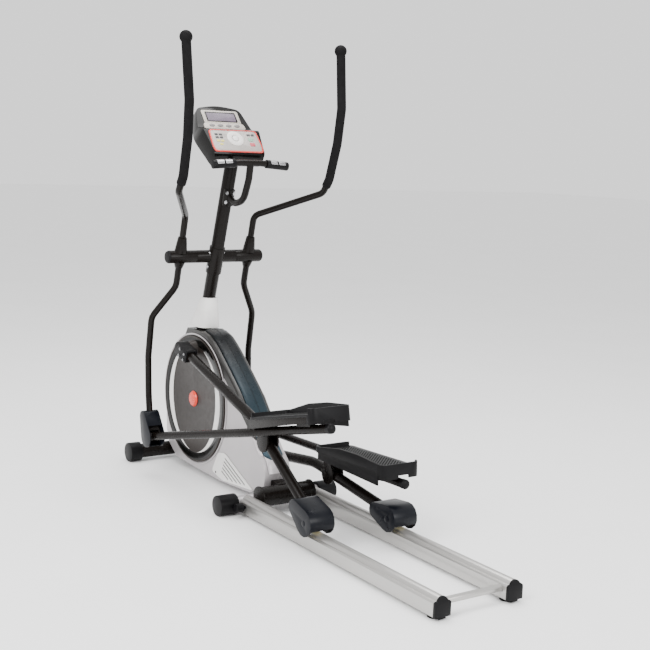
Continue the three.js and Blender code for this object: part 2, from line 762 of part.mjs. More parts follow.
for (const { name, sign } of SIDES) {
  const outer = sign * SHELL_HALF_LENGTH;
  const inner = sign * (SHELL_HALF_LENGTH - BEARING_WIDTH);
  add(
    `crank_bearing_${name}`,
    cut(
      barY(BEARING_RADIUS, inner, outer, CRANK_X, CRANK_Z),
      barY(AXLE_RADIUS + RUN_GAP, inner - sign, outer + sign, CRANK_X, CRANK_Z),
    ),
    paint.steel,
  );
}
add(
  "crank_axle",
  barY(AXLE_RADIUS, -(DISC_BACK_Y - SEAT_GAP), DISC_BACK_Y - SEAT_GAP, CRANK_X, CRANK_Z),
  paint.steel,
);
const pulleyHubInner = SHELL_HALF_LENGTH + 1;
add(
  "drive_pulley",
  cut(
    join(
      barY(
        PULLEY_RADIUS,
        PULLEY_INNER_Y,
        PULLEY_INNER_Y + PULLEY_WIDTH,
        CRANK_X,
        CRANK_Z,
        40,
      ),
      barY(22, pulleyHubInner, PULLEY_INNER_Y + 2, CRANK_X, CRANK_Z),
    ),
    barY(AXLE_RADIUS + SEAT_GAP, 0, 80, CRANK_X, CRANK_Z),
  ),
  paint.castIron,
);

for (const { name, sign, crankAngle } of SIDES) {
  const { pin } = linkage(crankAngle);
  const face = sign * DISC_FACE_Y;
  const back = sign * DISC_BACK_Y;
  const rimInner = DISC_RADIUS - DISC_RIM_WIDTH;
  const rim = cut(
    barY(DISC_RADIUS, back, face + sign * DISC_RIM_HEIGHT, CRANK_X, CRANK_Z, 40),
    barY(rimInner, face, face + sign * 10, CRANK_X, CRANK_Z, 40),
  );
  const bossEnd = sign * (CRANK_BEARING_INNER_Y - SEAT_GAP);
  const boss = bar(
    V3(pin[0], back, pin[1]),
    V3(pin[0], bossEnd, pin[1]),
    CRANK_BOSS_RADIUS + 8,
    CRANK_BOSS_RADIUS,
  );
  add(`crank_disc_${name}`, join(rim, boss), paint.discPlastic);
  add(
    `disc_cap_${name}`,
    bar(
      V3(CRANK_X, face + sign * SEAT_GAP, CRANK_Z),
      V3(CRANK_X, face + sign * (SEAT_GAP + DISC_CAP_HEIGHT), CRANK_Z),
      DISC_CAP_RADIUS,
      DISC_CAP_RADIUS - 6,
      32,
    ),
    paint.redPlastic,
  );
}

const flywheelHalf = FLYWHEEL_WIDTH / 2;
add(
  "flywheel",
  cut(
    barY(FLYWHEEL_RADIUS, -flywheelHalf, flywheelHalf, FLYWHEEL_X, FLYWHEEL_Z, 36),
    barY(FLYWHEEL_RADIUS - 22, flywheelHalf - 10, 40, FLYWHEEL_X, FLYWHEEL_Z, 28),
    barY(FLYWHEEL_RADIUS - 22, -flywheelHalf + 10, -40, FLYWHEEL_X, FLYWHEEL_Z, 28),
    barY(FLYWHEEL_AXLE_RADIUS + SEAT_GAP + 0.2, -40, 40, FLYWHEEL_X, FLYWHEEL_Z, 16),
  ),
  paint.castIron,
);
add(
  "flywheel_axle",
  join(
    barY(
      FLYWHEEL_AXLE_RADIUS - 0.2,
      -(forkInnerY + 12),
      PULLEY_INNER_Y + PULLEY_WIDTH,
      FLYWHEEL_X,
      FLYWHEEL_Z,
      16,
    ),
    barY(
      FLYWHEEL_PULLEY_RADIUS,
      PULLEY_INNER_Y,
      PULLEY_INNER_Y + PULLEY_WIDTH,
      FLYWHEEL_X,
      FLYWHEEL_Z,
      28,
    ),
  ),
  paint.steel,
);
const beltInner = capsuleCorners(
  [CRANK_X, CRANK_Z],
  PULLEY_RADIUS + BELT_GAP,
  [FLYWHEEL_X, FLYWHEEL_Z],
  FLYWHEEL_PULLEY_RADIUS + BELT_GAP,
  24,
);
const beltOuter = capsuleCorners(
  [CRANK_X, CRANK_Z],
  PULLEY_RADIUS + BELT_GAP + BELT_THICKNESS,
  [FLYWHEEL_X, FLYWHEEL_Z],
  FLYWHEEL_PULLEY_RADIUS + BELT_GAP + BELT_THICKNESS,
  24,
);
add(
  "drive_belt",
  cut(
    plateXZ(
      outline(beltOuter),
      PULLEY_MIDDLE_Y - BELT_WIDTH / 2,
      PULLEY_MIDDLE_Y + BELT_WIDTH / 2,
    ),
    plateXZ(outline(beltInner), PULLEY_INNER_Y - 5, PULLEY_INNER_Y + PULLEY_WIDTH + 5),
  ),
  paint.beltRubber,
);
add(
  "belt_idler",
  cut(
    barY(
      IDLER_RADIUS,
      PULLEY_INNER_Y,
      PULLEY_INNER_Y + PULLEY_WIDTH,
      ...IDLER_PLACE,
    ),
    barY(FLYWHEEL_AXLE_RADIUS + RUN_GAP, 0, 80, ...IDLER_PLACE, 16),
  ),
  paint.blackPlastic,
);

// The brake's magnets sit in a strip round the top of the flywheel, on a leg from the beam.
const brakeInner = FLYWHEEL_RADIUS + MAGNET_GAP;
const brakeOuter = brakeInner + MAGNET_BRACKET_THICKNESS;
const brakeArc = new THREE.Shape();
brakeArc.absarc(FLYWHEEL_X, FLYWHEEL_Z, brakeOuter, 0, radians(115), false);
brakeArc.absarc(FLYWHEEL_X, FLYWHEEL_Z, brakeInner, radians(115), 0, true);
const brakeLeg = box(
  FLYWHEEL_X + brakeInner,
  FLYWHEEL_X + brakeOuter,
  -flywheelHalf,
  flywheelHalf,
  BEAM_TOP_Z + SEAT_GAP,
  FLYWHEEL_Z + 2,
);
add(
  "brake_magnet_bracket",
  join(plateXZ(brakeArc, -flywheelHalf, flywheelHalf, 8), brakeLeg),
  paint.steel,
);

// ---- Housing --------------------------------------------------------------------------------

const SPINE_LINE = [
  [-112, 577],
  [-56, 560],
  [-1, 517],
  [57, 470],
  [130, 424],
  [198, 371],
  [262, 300],
  [299, 242],
  [334, 205],
  [378, 168],
  [396, 128],
];
const FRONT_ARC = [];
for (let angle = 112; angle <= 196; angle += 12) {
  FRONT_ARC.push([
    CRANK_X + (DISC_RADIUS + 10) * Math.cos(radians(angle)),
    CRANK_Z + (DISC_RADIUS + 10) * Math.sin(radians(angle)),
  ]);
}
const HOUSING_LOOP = [
  ...[...SPINE_LINE].reverse(),
  [-236, 577],
  ...FRONT_ARC,
  [-404, 130],
  [-382, 78],
  [-312, 32],
  [-115, 24],
  [70, 22],
  [292, 36],
  [340, 68],
  [388, 82],
];
const HOUSING_TOP_Z = SPINE_LINE[0][1] + SPINE_RISE;
const spineBand = (rise, depth) => [
  ...offsetLine(SPINE_LINE, rise),
  ...[...offsetLine(SPINE_LINE, depth)].reverse(),
];
const uprightClear = bar(
  onPost(BEAM_TOP_Z - 60),
  onPost(COLLAR_TOP_Z + 60),
  UPRIGHT_RADIUS + SEAT_GAP + 0.3,
);
const beamClear = box(
  FRONT_STABILISER_X - 60,
  CROSS_TUBE_X + 60,
  -(BEAM_HALF_WIDTH + SEAT_GAP),
  BEAM_HALF_WIDTH + SEAT_GAP,
  BEAM_BOTTOM_Z - SEAT_GAP,
  BEAM_TOP_Z + SEAT_GAP,
);
const midStabiliserClear = barY(
  MID_STABILISER_RADIUS + 1,
  -300,
  300,
  MID_STABILISER_X,
  MID_STABILISER_Z,
);
const saddleClear = box(
  MID_STABILISER_X - 19,
  MID_STABILISER_X + 60,
  -(BEAM_HALF_WIDTH + SEAT_GAP),
  BEAM_HALF_WIDTH + SEAT_GAP,
  MID_STABILISER_Z,
  BEAM_TOP_Z,
);
const housingFill = (half, inset) => {
  const loop = inset ? offsetLoop(HOUSING_LOOP, inset) : HOUSING_LOOP;
  return (from) => plateXZ(outline(loop), from, half);
};

const VENT_CORNERS = [
  [50, 132],
  [100, 140],
  [316, 50],
  [88, 30],
  [2, 48],
];
for (const { name, sign } of SIDES) {
  const outerY = sign * HOUSING_FACE_Y;
  const body = housingFill(outerY, 0)(sign * (SEAT_GAP / 2));
  const hollow = housingFill(sign * (HOUSING_FACE_Y - HOUSING_WALL), HOUSING_WALL)(-sign * 2);
  const spineSlot = plateXZ(
    outline(spineBand(SPINE_RISE + 40, -HOUSING_WALL - 2)),
    -sign * 2,
    sign * (SPINE_HALF_WIDTH + SEAT_GAP),
  );
  const rim = cut(
    barY(DISC_RADIUS + 3 + RIM_WIDTH, outerY - sign, outerY + sign * RIM_HEIGHT, CRANK_X, CRANK_Z, 40),
    barY(DISC_RADIUS + 3, outerY - sign * 2, outerY + sign * 20, CRANK_X, CRANK_Z, 40),
  );
  const vent = plateXZ(outline(VENT_CORNERS, 12), outerY - sign, outerY + sign * 2);
  add(
    `housing_${name}`,
    cut(
      join(cut(body, hollow), rim, vent),
      spineSlot,
      uprightClear,
      beamClear,
      midStabiliserClear,
      saddleClear,
      barY(AXLE_RADIUS + 14, sign * 40, sign * 70, CRANK_X, CRANK_Z),
    ),
    paint.silverPlastic,
  );
}

const spineBody = plateXZ(
  outline(spineBand(SPINE_RISE, -HOUSING_WALL)),
  -SPINE_HALF_WIDTH,
  SPINE_HALF_WIDTH,
);
const spineHollow = plateXZ(
  outline(spineBand(SPINE_RISE - HOUSING_WALL, -HOUSING_WALL - 20)),
  -(SPINE_HALF_WIDTH - HOUSING_WALL),
  SPINE_HALF_WIDTH - HOUSING_WALL,
);
add(
  "housing_spine",
  cut(spineBody, spineHollow, uprightClear, beamClear),
  paint.spinePlastic,
);

// The collar is a cone-like skirt from an oblong foot up to a ring round the post.
const collarFootZ = HOUSING_TOP_Z + SEAT_GAP;
const collarPoints = [];
for (let i = 0; i < 28; i++) {
  const angle = (2 * Math.PI * i) / 28;
  const reach = [Math.cos(angle), Math.sin(angle)];
  const squarish = reach.map((value) => Math.sign(value) * Math.abs(value) ** 0.6);
  collarPoints.push(
    V3(
      postX(collarFootZ) + COLLAR_HALF_LENGTH * squarish[0],
      COLLAR_HALF_WIDTH * squarish[1],
      collarFootZ,
    ),
    V3(
      postX(COLLAR_TOP_Z) + COLLAR_TOP_RADIUS * reach[0],
      COLLAR_TOP_RADIUS * reach[1],
      COLLAR_TOP_Z,
    ),
  );
}
add(
  "post_collar",
  cut(
    solidOf(new ConvexGeometry(collarPoints)),
    bar(onPost(collarFootZ - 40), onPost(UPRIGHT_TOP_Z + 3), UPRIGHT_RADIUS + SEAT_GAP + 0.3),
    bar(onPost(collarFootZ - 40), onPost(COLLAR_TOP_Z + 30), POST_RADIUS + SEAT_GAP + 0.2),
  ),
  paint.whitePlastic,
);

// ---- Post and swing pivot -----------------------------------------------------------------------

const postBar = bar(onPost(POST_BOTTOM_Z), onPost(POST_TOP_Z), POST_RADIUS);
const spacer = barY(
  HUB_RADIUS,
  -PIVOT_SPACER_HALF_LENGTH,
  PIVOT_SPACER_HALF_LENGTH,
  PIVOT_X,
  PIVOT_Z,
);
const postRings = [
  bar(onPost(PIVOT_Z - 64), onPost(PIVOT_Z + 38), POST_RADIUS + 5),
];
add(
  "post",
  cut(
    join(postBar, spacer, ...postRings),
    barY(PIVOT_SHAFT_RADIUS + SEAT_GAP, -220, 220, PIVOT_X, PIVOT_Z),
  ),
  paint.blackPaint,
);
add(
  "pivot_shaft",
  barY(PIVOT_SHAFT_RADIUS, -HUB_OUTER_Y, HUB_OUTER_Y, PIVOT_X, PIVOT_Z),
  paint.steel,
);
for (const { name, sign } of SIDES) {
  add(
    `pivot_cap_${name}`,
    bar(
      V3(PIVOT_X, sign * (HUB_OUTER_Y + SEAT_GAP), PIVOT_Z),
      V3(PIVOT_X, sign * (HUB_OUTER_Y + SEAT_GAP + PIVOT_CAP_THICKNESS), PIVOT_Z),
      HUB_RADIUS,
      HUB_RADIUS - 4,
      28,
    ),
    paint.blackPlastic,
  );
}

// ---- Console -------------------------------------------------------------------------------------

// Console coordinates: across = Y, up = along the sloping face, out = away from the face.
const consoleTurn = new THREE.Matrix4().makeBasis(
  V3(0, 1, 0),
  V3(-Math.cos(radians(CONSOLE_TILT)), 0, Math.sin(radians(CONSOLE_TILT))),
  V3(Math.sin(radians(CONSOLE_TILT)), 0, Math.cos(radians(CONSOLE_TILT))),
);
consoleTurn.setPosition(CONSOLE_FOOT_X, 0, CONSOLE_FOOT_Z);

function facePlate(shape, from, to, curveSegments = 5) {
  const settings = { depth: to - from, bevelEnabled: false, curveSegments };
  const geometry = new THREE.ExtrudeGeometry(shape, settings);
  return solidOf(geometry.translate(0, 0, from).applyMatrix4(consoleTurn));
}

function faceBar(across, up, radius, from, to, sides = 24) {
  const geometry = new THREE.CylinderGeometry(radius, radius, to - from, sides);
  geometry.rotateX(Math.PI / 2).translate(across, up, (from + to) / 2);
  return solidOf(geometry.applyMatrix4(consoleTurn));
}

const half = CONSOLE_HALF_WIDTH;
const long = CONSOLE_LENGTH;
const podHalf = half - 11; // at the keypad's lower corners
const podTopHalf = half - 13; // at its upper corners
const consoleFront = facePlate(
  outline(
    [
      [podHalf - 4, -4],
      [podHalf, 0.2 * long],
      [half, POD_TOP + 6],
      [half - 9, 0.68 * long],
      [half - 28, 0.97 * long],
      [0, long + 9],
      [28 - half, 0.97 * long],
      [9 - half, 0.68 * long],
      [-half, POD_TOP + 6],
      [-podHalf, 0.2 * long],
      [4 - podHalf, -4],
    ],
    20,
  ),
  -CONSOLE_DEPTH - 10,
  POD_HEIGHT + 10,
  3,
);
// The side profile, drawn in up and out, carried across the console.
const sideProfile = new THREE.ExtrudeGeometry(
  outline(
    [
      [-5, -8],
      [2, 14],
      [20, POD_HEIGHT],
      [POD_TOP, POD_HEIGHT],
      [POD_TOP + 32, 0],
      [long + 10, 0],
      [long + 10, 14 - CONSOLE_DEPTH],
      [0.6 * long, -CONSOLE_DEPTH],
      [0.3 * long, 12 - CONSOLE_DEPTH],
      [0, 28 - CONSOLE_DEPTH],
    ],
    8,
  ),
  { depth: 2 * half + 20, bevelEnabled: false, curveSegments: 2 },
);
sideProfile.applyMatrix4(
  new THREE.Matrix4().makeBasis(V3(0, 1, 0), V3(0, 0, 1), V3(1, 0, 0)),
);
sideProfile.translate(-half - 10, 0, 0).applyMatrix4(consoleTurn);
add(
  "console_body",
  cut(
    consoleFront.intersect(solidOf(sideProfile)),
    bar(onPost(POST_BOTTOM_Z), onPost(POST_TOP_Z + 1), POST_RADIUS + SEAT_GAP + 0.2),
    faceBar(0, BUTTON_UP, BUTTON_RADIUS + RUN_GAP + 1, POD_HEIGHT - 10, POD_HEIGHT + 5),
  ),
  paint.glossBlack,
);
const keypadTop = POD_HEIGHT + SEAT_GAP + KEYPAD_THICKNESS;
const keypad = facePlate(
  outline(
    [
      [podHalf - 12, 26],
      [podHalf - 8, 50],
      [podTopHalf - 12, POD_TOP - 9],
      [12 - podTopHalf, POD_TOP - 9],
      [8 - podHalf, 50],
      [12 - podHalf, 26],
    ],
    14,
  ),
  POD_HEIGHT + SEAT_GAP,
  keypadTop,
  3,
);
add(
  "console_keypad",
  cut(keypad, faceBar(0, BUTTON_UP, BUTTON_RADIUS + RUN_GAP, POD_HEIGHT - 8, POD_HEIGHT + 20)),
  paint.panelGrey,
);
add(
  "console_button",
  faceBar(
    0,
    BUTTON_UP,
    BUTTON_RADIUS,
    keypadTop + BUTTON_PROUD - BUTTON_HEIGHT,
    keypadTop + BUTTON_PROUD,
  ),
  paint.silverPlastic,
);

// ---- Pulse bar -------------------------------------------------------------------------------------

const barEnd = (y) => V3(PULSE_BAR_X, y, PULSE_BAR_Z - PULSE_BAR_DROP);
const barBend = (y) => V3(PULSE_BAR_X, y, PULSE_BAR_Z);
const bracketStart = onPost(PULSE_BRACKET_Z);
const bracketPostX = bracketStart.x;
bracketStart.x += POST_RADIUS + SEAT_GAP;
const bracketPlate = bar(
  onPost(PULSE_BRACKET_Z - 30),
  onPost(PULSE_BRACKET_Z + 32),
  POST_RADIUS + 7,
);
const bracketTube = tubeAlong(
  [
    bracketStart,
    V3(bracketPostX + 65.2, 0, PULSE_BRACKET_Z - 26),
    V3(bracketPostX + 133.2, 0, PULSE_BRACKET_Z - 10),
    V3(PULSE_BAR_X - 10, 0, PULSE_BAR_Z - 61),
    V3(PULSE_BAR_X, 0, PULSE_BAR_Z),
  ],
  60,
  PULSE_BAR_RADIUS + 1,
);
const bracketHalf = box(bracketPostX + 12, bracketPostX + 105.2, -22, 22, PULSE_BRACKET_Z - 40, PULSE_BRACKET_Z + 40);
add(
  "pulse_bar",
  join(
    tubeAlong(
      [
        barEnd(-PULSE_GRIP_OUTER_Y + 4),
        barBend(-40),
        barBend(40),
        barEnd(PULSE_GRIP_OUTER_Y - 4),
      ],
      60,
      PULSE_BAR_RADIUS,
    ),
    cut(
      join(bracketTube, bracketPlate.intersect(bracketHalf)),
      bar(onPost(PULSE_BRACKET_Z - 50), onPost(PULSE_BRACKET_Z + 50), POST_RADIUS + SEAT_GAP),
    ),
  ),
  paint.blackPaint,
);
for (const { name, sign } of SIDES) {
  const along = barEnd(sign * (PULSE_GRIP_OUTER_Y - 4)).sub(barBend(sign * 40)).normalize();
  const at = (y) => barBend(sign * 40).addScaledVector(along, (y - 40) / Math.abs(along.y));
  add(
    `pulse_grip_${name}`,
    cut(
      bar(at(PULSE_GRIP_INNER_Y), at(PULSE_GRIP_OUTER_Y), PULSE_GRIP_RADIUS),
      bar(
        at(PULSE_GRIP_INNER_Y - 10),
        at(PULSE_GRIP_OUTER_Y - 3),
        PULSE_BAR_RADIUS + SEAT_GAP + 0.3,
      ),
    ),
    paint.blackPlastic,
  );
}

// ---- Moving arms, one set on each side ---------------------------------------------------------

for (const { name, sign, crankAngle } of SIDES) {
  const { pin, roller, rollerArm, joint, pedalAngle, pedalArm } = linkage(crankAngle);
  const at = ([x, z], y) => V3(x, sign * y, z);
  const lean = radians(SWING_LEAN);
  const swing = sideFrame([PIVOT_X, PIVOT_Z], Math.PI / 2 - lean);
  const swingAt = (s, y = HUB_TUBE_Y) => at(swing(s, 0), y);
  const hubY = [sign * (PIVOT_SPACER_HALF_LENGTH + RUN_GAP), sign * HUB_OUTER_Y];

  // Lower tube: down from the hub, out to its own plane, then down to the fork.
  const lowerTube = tubeAlong(
    [
      swingAt(0),
      swingAt(-121),
      ...LOWER_TUBE_LINE.map((place) => at(place, LOWER_TUBE_Y)),
    ],
    60,
    SWING_TUBE_RADIUS,
  );
  const [jx, jz] = joint;
  const forkY = (offset) => sign * (LOWER_TUBE_Y + offset);
  const tubeFoot = LOWER_TUBE_LINE[LOWER_TUBE_LINE.length - 1];
  const forkCorners = capsuleCorners([jx, jz], FORK_RADIUS, tubeFoot, 17, 8);
  const fork = plateXZ(
    outline(forkCorners),
    forkY(-FORK_HALF_GAP - FORK_PLATE),
    forkY(FORK_HALF_GAP + FORK_PLATE),
  );
  const forkSlot = plateXZ(
    outline(capsuleCorners([jx, jz], FORK_RADIUS + 4, [jx + 50, jz], FORK_RADIUS + 4, 8)),
    forkY(-FORK_HALF_GAP),
    forkY(FORK_HALF_GAP),
  );
  const boot = bar(swingAt(18), swingAt(BOOT_LENGTH), HUB_RADIUS, BOOT_TOP_RADIUS);
  const skirt = bar(swingAt(-18), swingAt(-44), HUB_RADIUS - 2, SWING_TUBE_RADIUS + 2);
  add(
    `swing_arm_${name}`,
    cut(
      join(
        lowerTube,
        barY(HUB_RADIUS, ...hubY, PIVOT_X, PIVOT_Z),
        boot,
        skirt,
        cut(fork, forkSlot),
      ),
      barY(PIVOT_SHAFT_RADIUS + RUN_GAP, sign * 60, sign * 240, PIVOT_X, PIVOT_Z),
      bar(swingAt(36), swingAt(BOOT_LENGTH + 10), SWING_TUBE_RADIUS + SEAT_GAP),
    ),
    paint.blackPaint,
  );

  // Handlebar: up from the boot, out and back, then up with a slight bow.
  const upper = [
    V3(199, sign * 308, 1189),
    V3(236, sign * 313, 1322),
    V3(250, sign * 317, 1451),
    V3(227, sign * 321, 1638),
  ];
  const handleCorners = [
    swingAt(38),
    swingAt(166),
    V3(161, sign * 306, 1135),
    ...upper,
    V3(224.5, sign * 321, 1655),
  ];
  const ballAt = V3(223, sign * 321, 1664);
  add(
    `handlebar_${name}`,
    tubeAlong(handleCorners, 45, SWING_TUBE_RADIUS),
    paint.blackPaint,
  );
  const ball = new THREE.SphereGeometry(GRIP_BALL_RADIUS, 16, 8);
  ball.rotateX(Math.PI / 2).translate(ballAt.x, ballAt.y, ballAt.z);
  const boreRadius = SWING_TUBE_RADIUS + SEAT_GAP;
  add(
    `foam_grip_${name}`,
    cut(
      join(
        tubeAlong([V3(180, sign * 307, 1161), ...upper, ballAt], 45, GRIP_RADIUS),
        solidOf(ball),
      ),
      tubeAlong(
        [V3(161, sign * 306, 1135), ...upper, V3(224.4, sign * 321, 1656)],
        45,
        boreRadius + 0.4,
      ),
    ),
    paint.foam,
  );

  // Cover over the joint at the foot of the swing arm, open to the rear.
  const coverTop = [tubeFoot[0] - 1, tubeFoot[1] + 14];
  const coverCorners = capsuleCorners([jx, jz], 42, coverTop, 24, 8);
  const coverInner = capsuleCorners([jx, jz], 42 - COVER_WALL, coverTop, 24 - COVER_WALL, 8);
  const coverOuterY = COVER_HALF_WIDTH - COVER_WALL;
  add(
    `joint_cover_${name}`,
    cut(
      plateXZ(outline(coverCorners), forkY(-COVER_HALF_WIDTH), forkY(COVER_HALF_WIDTH)),
      plateXZ(outline(coverInner), forkY(-coverOuterY), forkY(coverOuterY)),
      box(jx + 4, jx + 90, forkY(-coverOuterY), forkY(coverOuterY), jz - 60, jz + 46),
      tubeAlong(
        LOWER_TUBE_LINE.slice(1).map((place) => at(place, LOWER_TUBE_Y)),
        60,
        SWING_TUBE_RADIUS + 1.5,
      ),
    ),
    paint.blackPlastic,
  );

  // Pedal arm: bush at the front, a tube that turns inward under the pedal, a channel that
  // carries the pedal, and the lug that hangs between the saddle plates.
  const saddleAt = pedalArm(PEDAL_ARM_REACH, 0);
  const saddleY =
    ROLLER_ARM_BEND_Y +
    ((RAIL_Y - ROLLER_ARM_BEND_Y) * (SADDLE[0] - ROLLER_ARM_BEND[0])) /
      (ROLLER_ARM_LENGTH - ROLLER_ARM_BEND[0]);
  const bushHalf = ROLLER_ARM_RADIUS - 1 - RUN_GAP;
  const armPlate = (corners, y0, y1) =>
    plateXZ(outline(corners.map(([s, t]) => pedalArm(s, t))), sign * y0, sign * y1);
  const armBlock = (s0, s1, t0, t1, y0, y1) =>
    armPlate(
      [
        [s0, t0],
        [s1, t0],
        [s1, t1],
        [s0, t1],
      ],
      y0,
      y1,
    );
  const armTop = PEDAL_BASE_HEIGHT - SEAT_GAP;
  const nearSaddle = [PEDAL_ARM_REACH - 24, PEDAL_ARM_REACH + 24];
  const tubeInnerY = PEDAL_ARM_BEND[1] - 12 - PEDAL_ARM_RADIUS;
  const supportOuterY = PEDAL_OUTER_Y - 2;
  const supportEnd = PEDAL_START + PEDAL_LENGTH - 34;
  const flange = armPlate(
    [
      [PEDAL_START, armTop],
      [PEDAL_START, armTop - SUPPORT_FLANGE_FRONT],
      [supportEnd, armTop - SUPPORT_FLANGE_REAR],
      [supportEnd, armTop],
    ],
    supportOuterY - SUPPORT_PLATE,
    supportOuterY,
  );
  add(
    `pedal_arm_${name}`,
    join(
      tubeAlong(
        [
          at(pedalArm(12, 0), LOWER_TUBE_Y),
          at(pedalArm(PEDAL_ARM_BEND[0], 0), PEDAL_ARM_BEND[1]),
          at(pedalArm(PEDAL_ARM_REAR[0], 0), PEDAL_ARM_REAR[1]),
          at(pedalArm(PEDAL_ARM_END, 0), PEDAL_ARM_END_Y),
        ],
        300,
        PEDAL_ARM_RADIUS,
        14,
      ),
      barY(
        FORK_RADIUS - 3,
        forkY(-FORK_HALF_GAP + RUN_GAP),
        forkY(FORK_HALF_GAP - RUN_GAP),
        jx,
        jz,
      ),
      barY(
        SADDLE_BUSH_RADIUS,
        sign * (saddleY - bushHalf),
        sign * (saddleY + bushHalf),
        ...saddleAt,
      ),
      armBlock(
        PEDAL_ARM_REACH - 11,
        PEDAL_ARM_REACH + 11,
        0,
        armTop - 3,
        saddleY - bushHalf,
        saddleY + bushHalf,
      ),
      armBlock(...nearSaddle, SADDLE_RADIUS + 5, armTop, saddleY - bushHalf - 6, tubeInnerY + 26),
      armBlock(...nearSaddle, 4, armTop, tubeInnerY, tubeInnerY + 26),
      armBlock(
        PEDAL_ARM_REAR[0] + 70,
        PEDAL_ARM_REAR[0] + 150,
        6,
        armTop,
        PEDAL_ARM_REAR[1] - 13,
        PEDAL_ARM_REAR[1] + 8,
      ),
      armBlock(
        PEDAL_START,
        supportEnd,
        armTop - SUPPORT_PLATE,
        armTop,
        PEDAL_INNER_Y + 38,
        supportOuterY,
      ),
      flange,
    ),
    paint.blackPaint,
  );

  // Pedal: a tray with a toe wall, a high inner wall and a heel wall; its outer side is low.
  const pedalTurn = new THREE.Matrix4().makeBasis(
    V3(Math.cos(pedalAngle), 0, Math.sin(pedalAngle)),
    V3(0, 1, 0),
    V3(-Math.sin(pedalAngle), 0, Math.cos(pedalAngle)),
  );
  const [pedalX, pedalZ] = pedalArm(PEDAL_START, PEDAL_BASE_HEIGHT);
  pedalTurn.setPosition(pedalX, 0, pedalZ);
  const footprint = (inset, radius, t0, t1) => {
    const shape = outline(
      [
        [inset, sign * (PEDAL_INNER_Y + inset)],
        [PEDAL_LENGTH - inset, sign * (PEDAL_INNER_Y + inset)],
        [PEDAL_LENGTH - inset, sign * (PEDAL_OUTER_Y - inset)],
        [inset, sign * (PEDAL_OUTER_Y - inset)],
      ],
      radius,
    );
    const settings = { depth: t1 - t0, bevelEnabled: false, curveSegments: 4 };
    const geometry = new THREE.ExtrudeGeometry(shape, settings).translate(0, 0, t0);
    return solidOf(geometry.applyMatrix4(pedalTurn));
  };
  const pedalSide = (corners, y0, y1) =>
    armPlate(
      corners.map(([s, t]) => [PEDAL_START + s, PEDAL_BASE_HEIGHT + t]),
      y0,
      y1,
    );
  const wallRing = cut(
    footprint(0, 24, -60, 60),
    footprint(PEDAL_WALL, 24 - PEDAL_WALL, -80, 80),
  );
  const heelStart = PEDAL_LENGTH - 30;
  const wallProfile = pedalSide(
    [
      [-5, 1],
      [-5, PEDAL_TOE_HEIGHT],
      [0.09 * PEDAL_LENGTH, PEDAL_TOE_HEIGHT],
      [0.38 * PEDAL_LENGTH, PEDAL_SIDE_HEIGHT],
      [0.66 * PEDAL_LENGTH, PEDAL_SIDE_HEIGHT],
      [PEDAL_LENGTH + 5, PEDAL_HEEL_HEIGHT],
      [PEDAL_LENGTH + 5, -PEDAL_SKIRT - 3],
      [heelStart, -PEDAL_SKIRT - 3],
      [heelStart, 1],
    ],
    PEDAL_INNER_Y - 5,
    PEDAL_OUTER_Y + 5,
  );
  const openSide = pedalSide(
    [
      [-10, 2],
      [-10, 90],
      [heelStart + 10, 90],
      [heelStart + 10, 2],
    ],
    PEDAL_OUTER_Y - 12,
    PEDAL_OUTER_Y + 10,
  );
  const innerSkirt = pedalSide(
    [
      [24, 4],
      [24, -PEDAL_SKIRT],
      [PEDAL_LENGTH - 24, -2 * PEDAL_SKIRT],
      [PEDAL_LENGTH - 24, 4],
    ],
    PEDAL_INNER_Y + 0.5,
    PEDAL_INNER_Y + PEDAL_WALL - 0.5,
  );
  const heelNotch = pedalSide(
    [
      [heelStart - 5, -60],
      [heelStart - 5, -PEDAL_SKIRT + 8],
      [PEDAL_LENGTH + 10, -PEDAL_SKIRT + 8],
      [PEDAL_LENGTH + 10, -60],
    ],
    PEDAL_ARM_END_Y - HEEL_NOTCH_HALF_WIDTH,
    PEDAL_ARM_END_Y + HEEL_NOTCH_HALF_WIDTH,
  );
  add(
    `pedal_${name}`,
    join(
      footprint(0, 24, 0, PEDAL_BASE_THICKNESS - PEDAL_TREAD_DEPTH),
      cut(wallRing.intersect(wallProfile), openSide, heelNotch),
      innerSkirt,
    ),
    paint.blackPlastic,
  );

  // Roller arm: bent tube from the crank bracket to the roller housing, with saddle plates.
  const tubeStart = rollerArm(34, 34 * (ROLLER_ARM_BEND[1] / ROLLER_ARM_BEND[0]));
  const housingNeck = 62;
  const rearHeading = Math.atan2(-ROLLER_ARM_BEND[1], ROLLER_ARM_LENGTH - ROLLER_ARM_BEND[0]);
  const tubeEnd = rollerArm(
    ROLLER_ARM_LENGTH - housingNeck * Math.cos(rearHeading),
    -housingNeck * Math.sin(rearHeading),
  );
  const armStations = [
    at(tubeStart, CRANK_PIN_Y),
    at(rollerArm(...ROLLER_ARM_BEND), ROLLER_ARM_BEND_Y),
    at(tubeEnd, RAIL_Y - 1),
  ];
  const tubeHeightAt = (s) =>
    (ROLLER_ARM_BEND[1] * (ROLLER_ARM_LENGTH - s)) / (ROLLER_ARM_LENGTH - ROLLER_ARM_BEND[0]);
  const saddlePlates = [-1, 1].map((facing) => {
    const near = saddleY + facing * (ROLLER_ARM_RADIUS - 1);
    const far = near + facing * SADDLE_PLATE;
    return plateXZ(
      outline(
        capsuleCorners(
          rollerArm(...SADDLE),
          SADDLE_RADIUS,
          rollerArm(SADDLE[0] + 4, tubeHeightAt(SADDLE[0] + 4)),
          36,
          8,
        ),
      ),
      sign * near,
      sign * far,
    );
  });
  add(
    `roller_arm_${name}`,
    join(tubeAlong(armStations, 160, ROLLER_ARM_RADIUS, 14), ...saddlePlates),
    paint.blackPaint,
  );

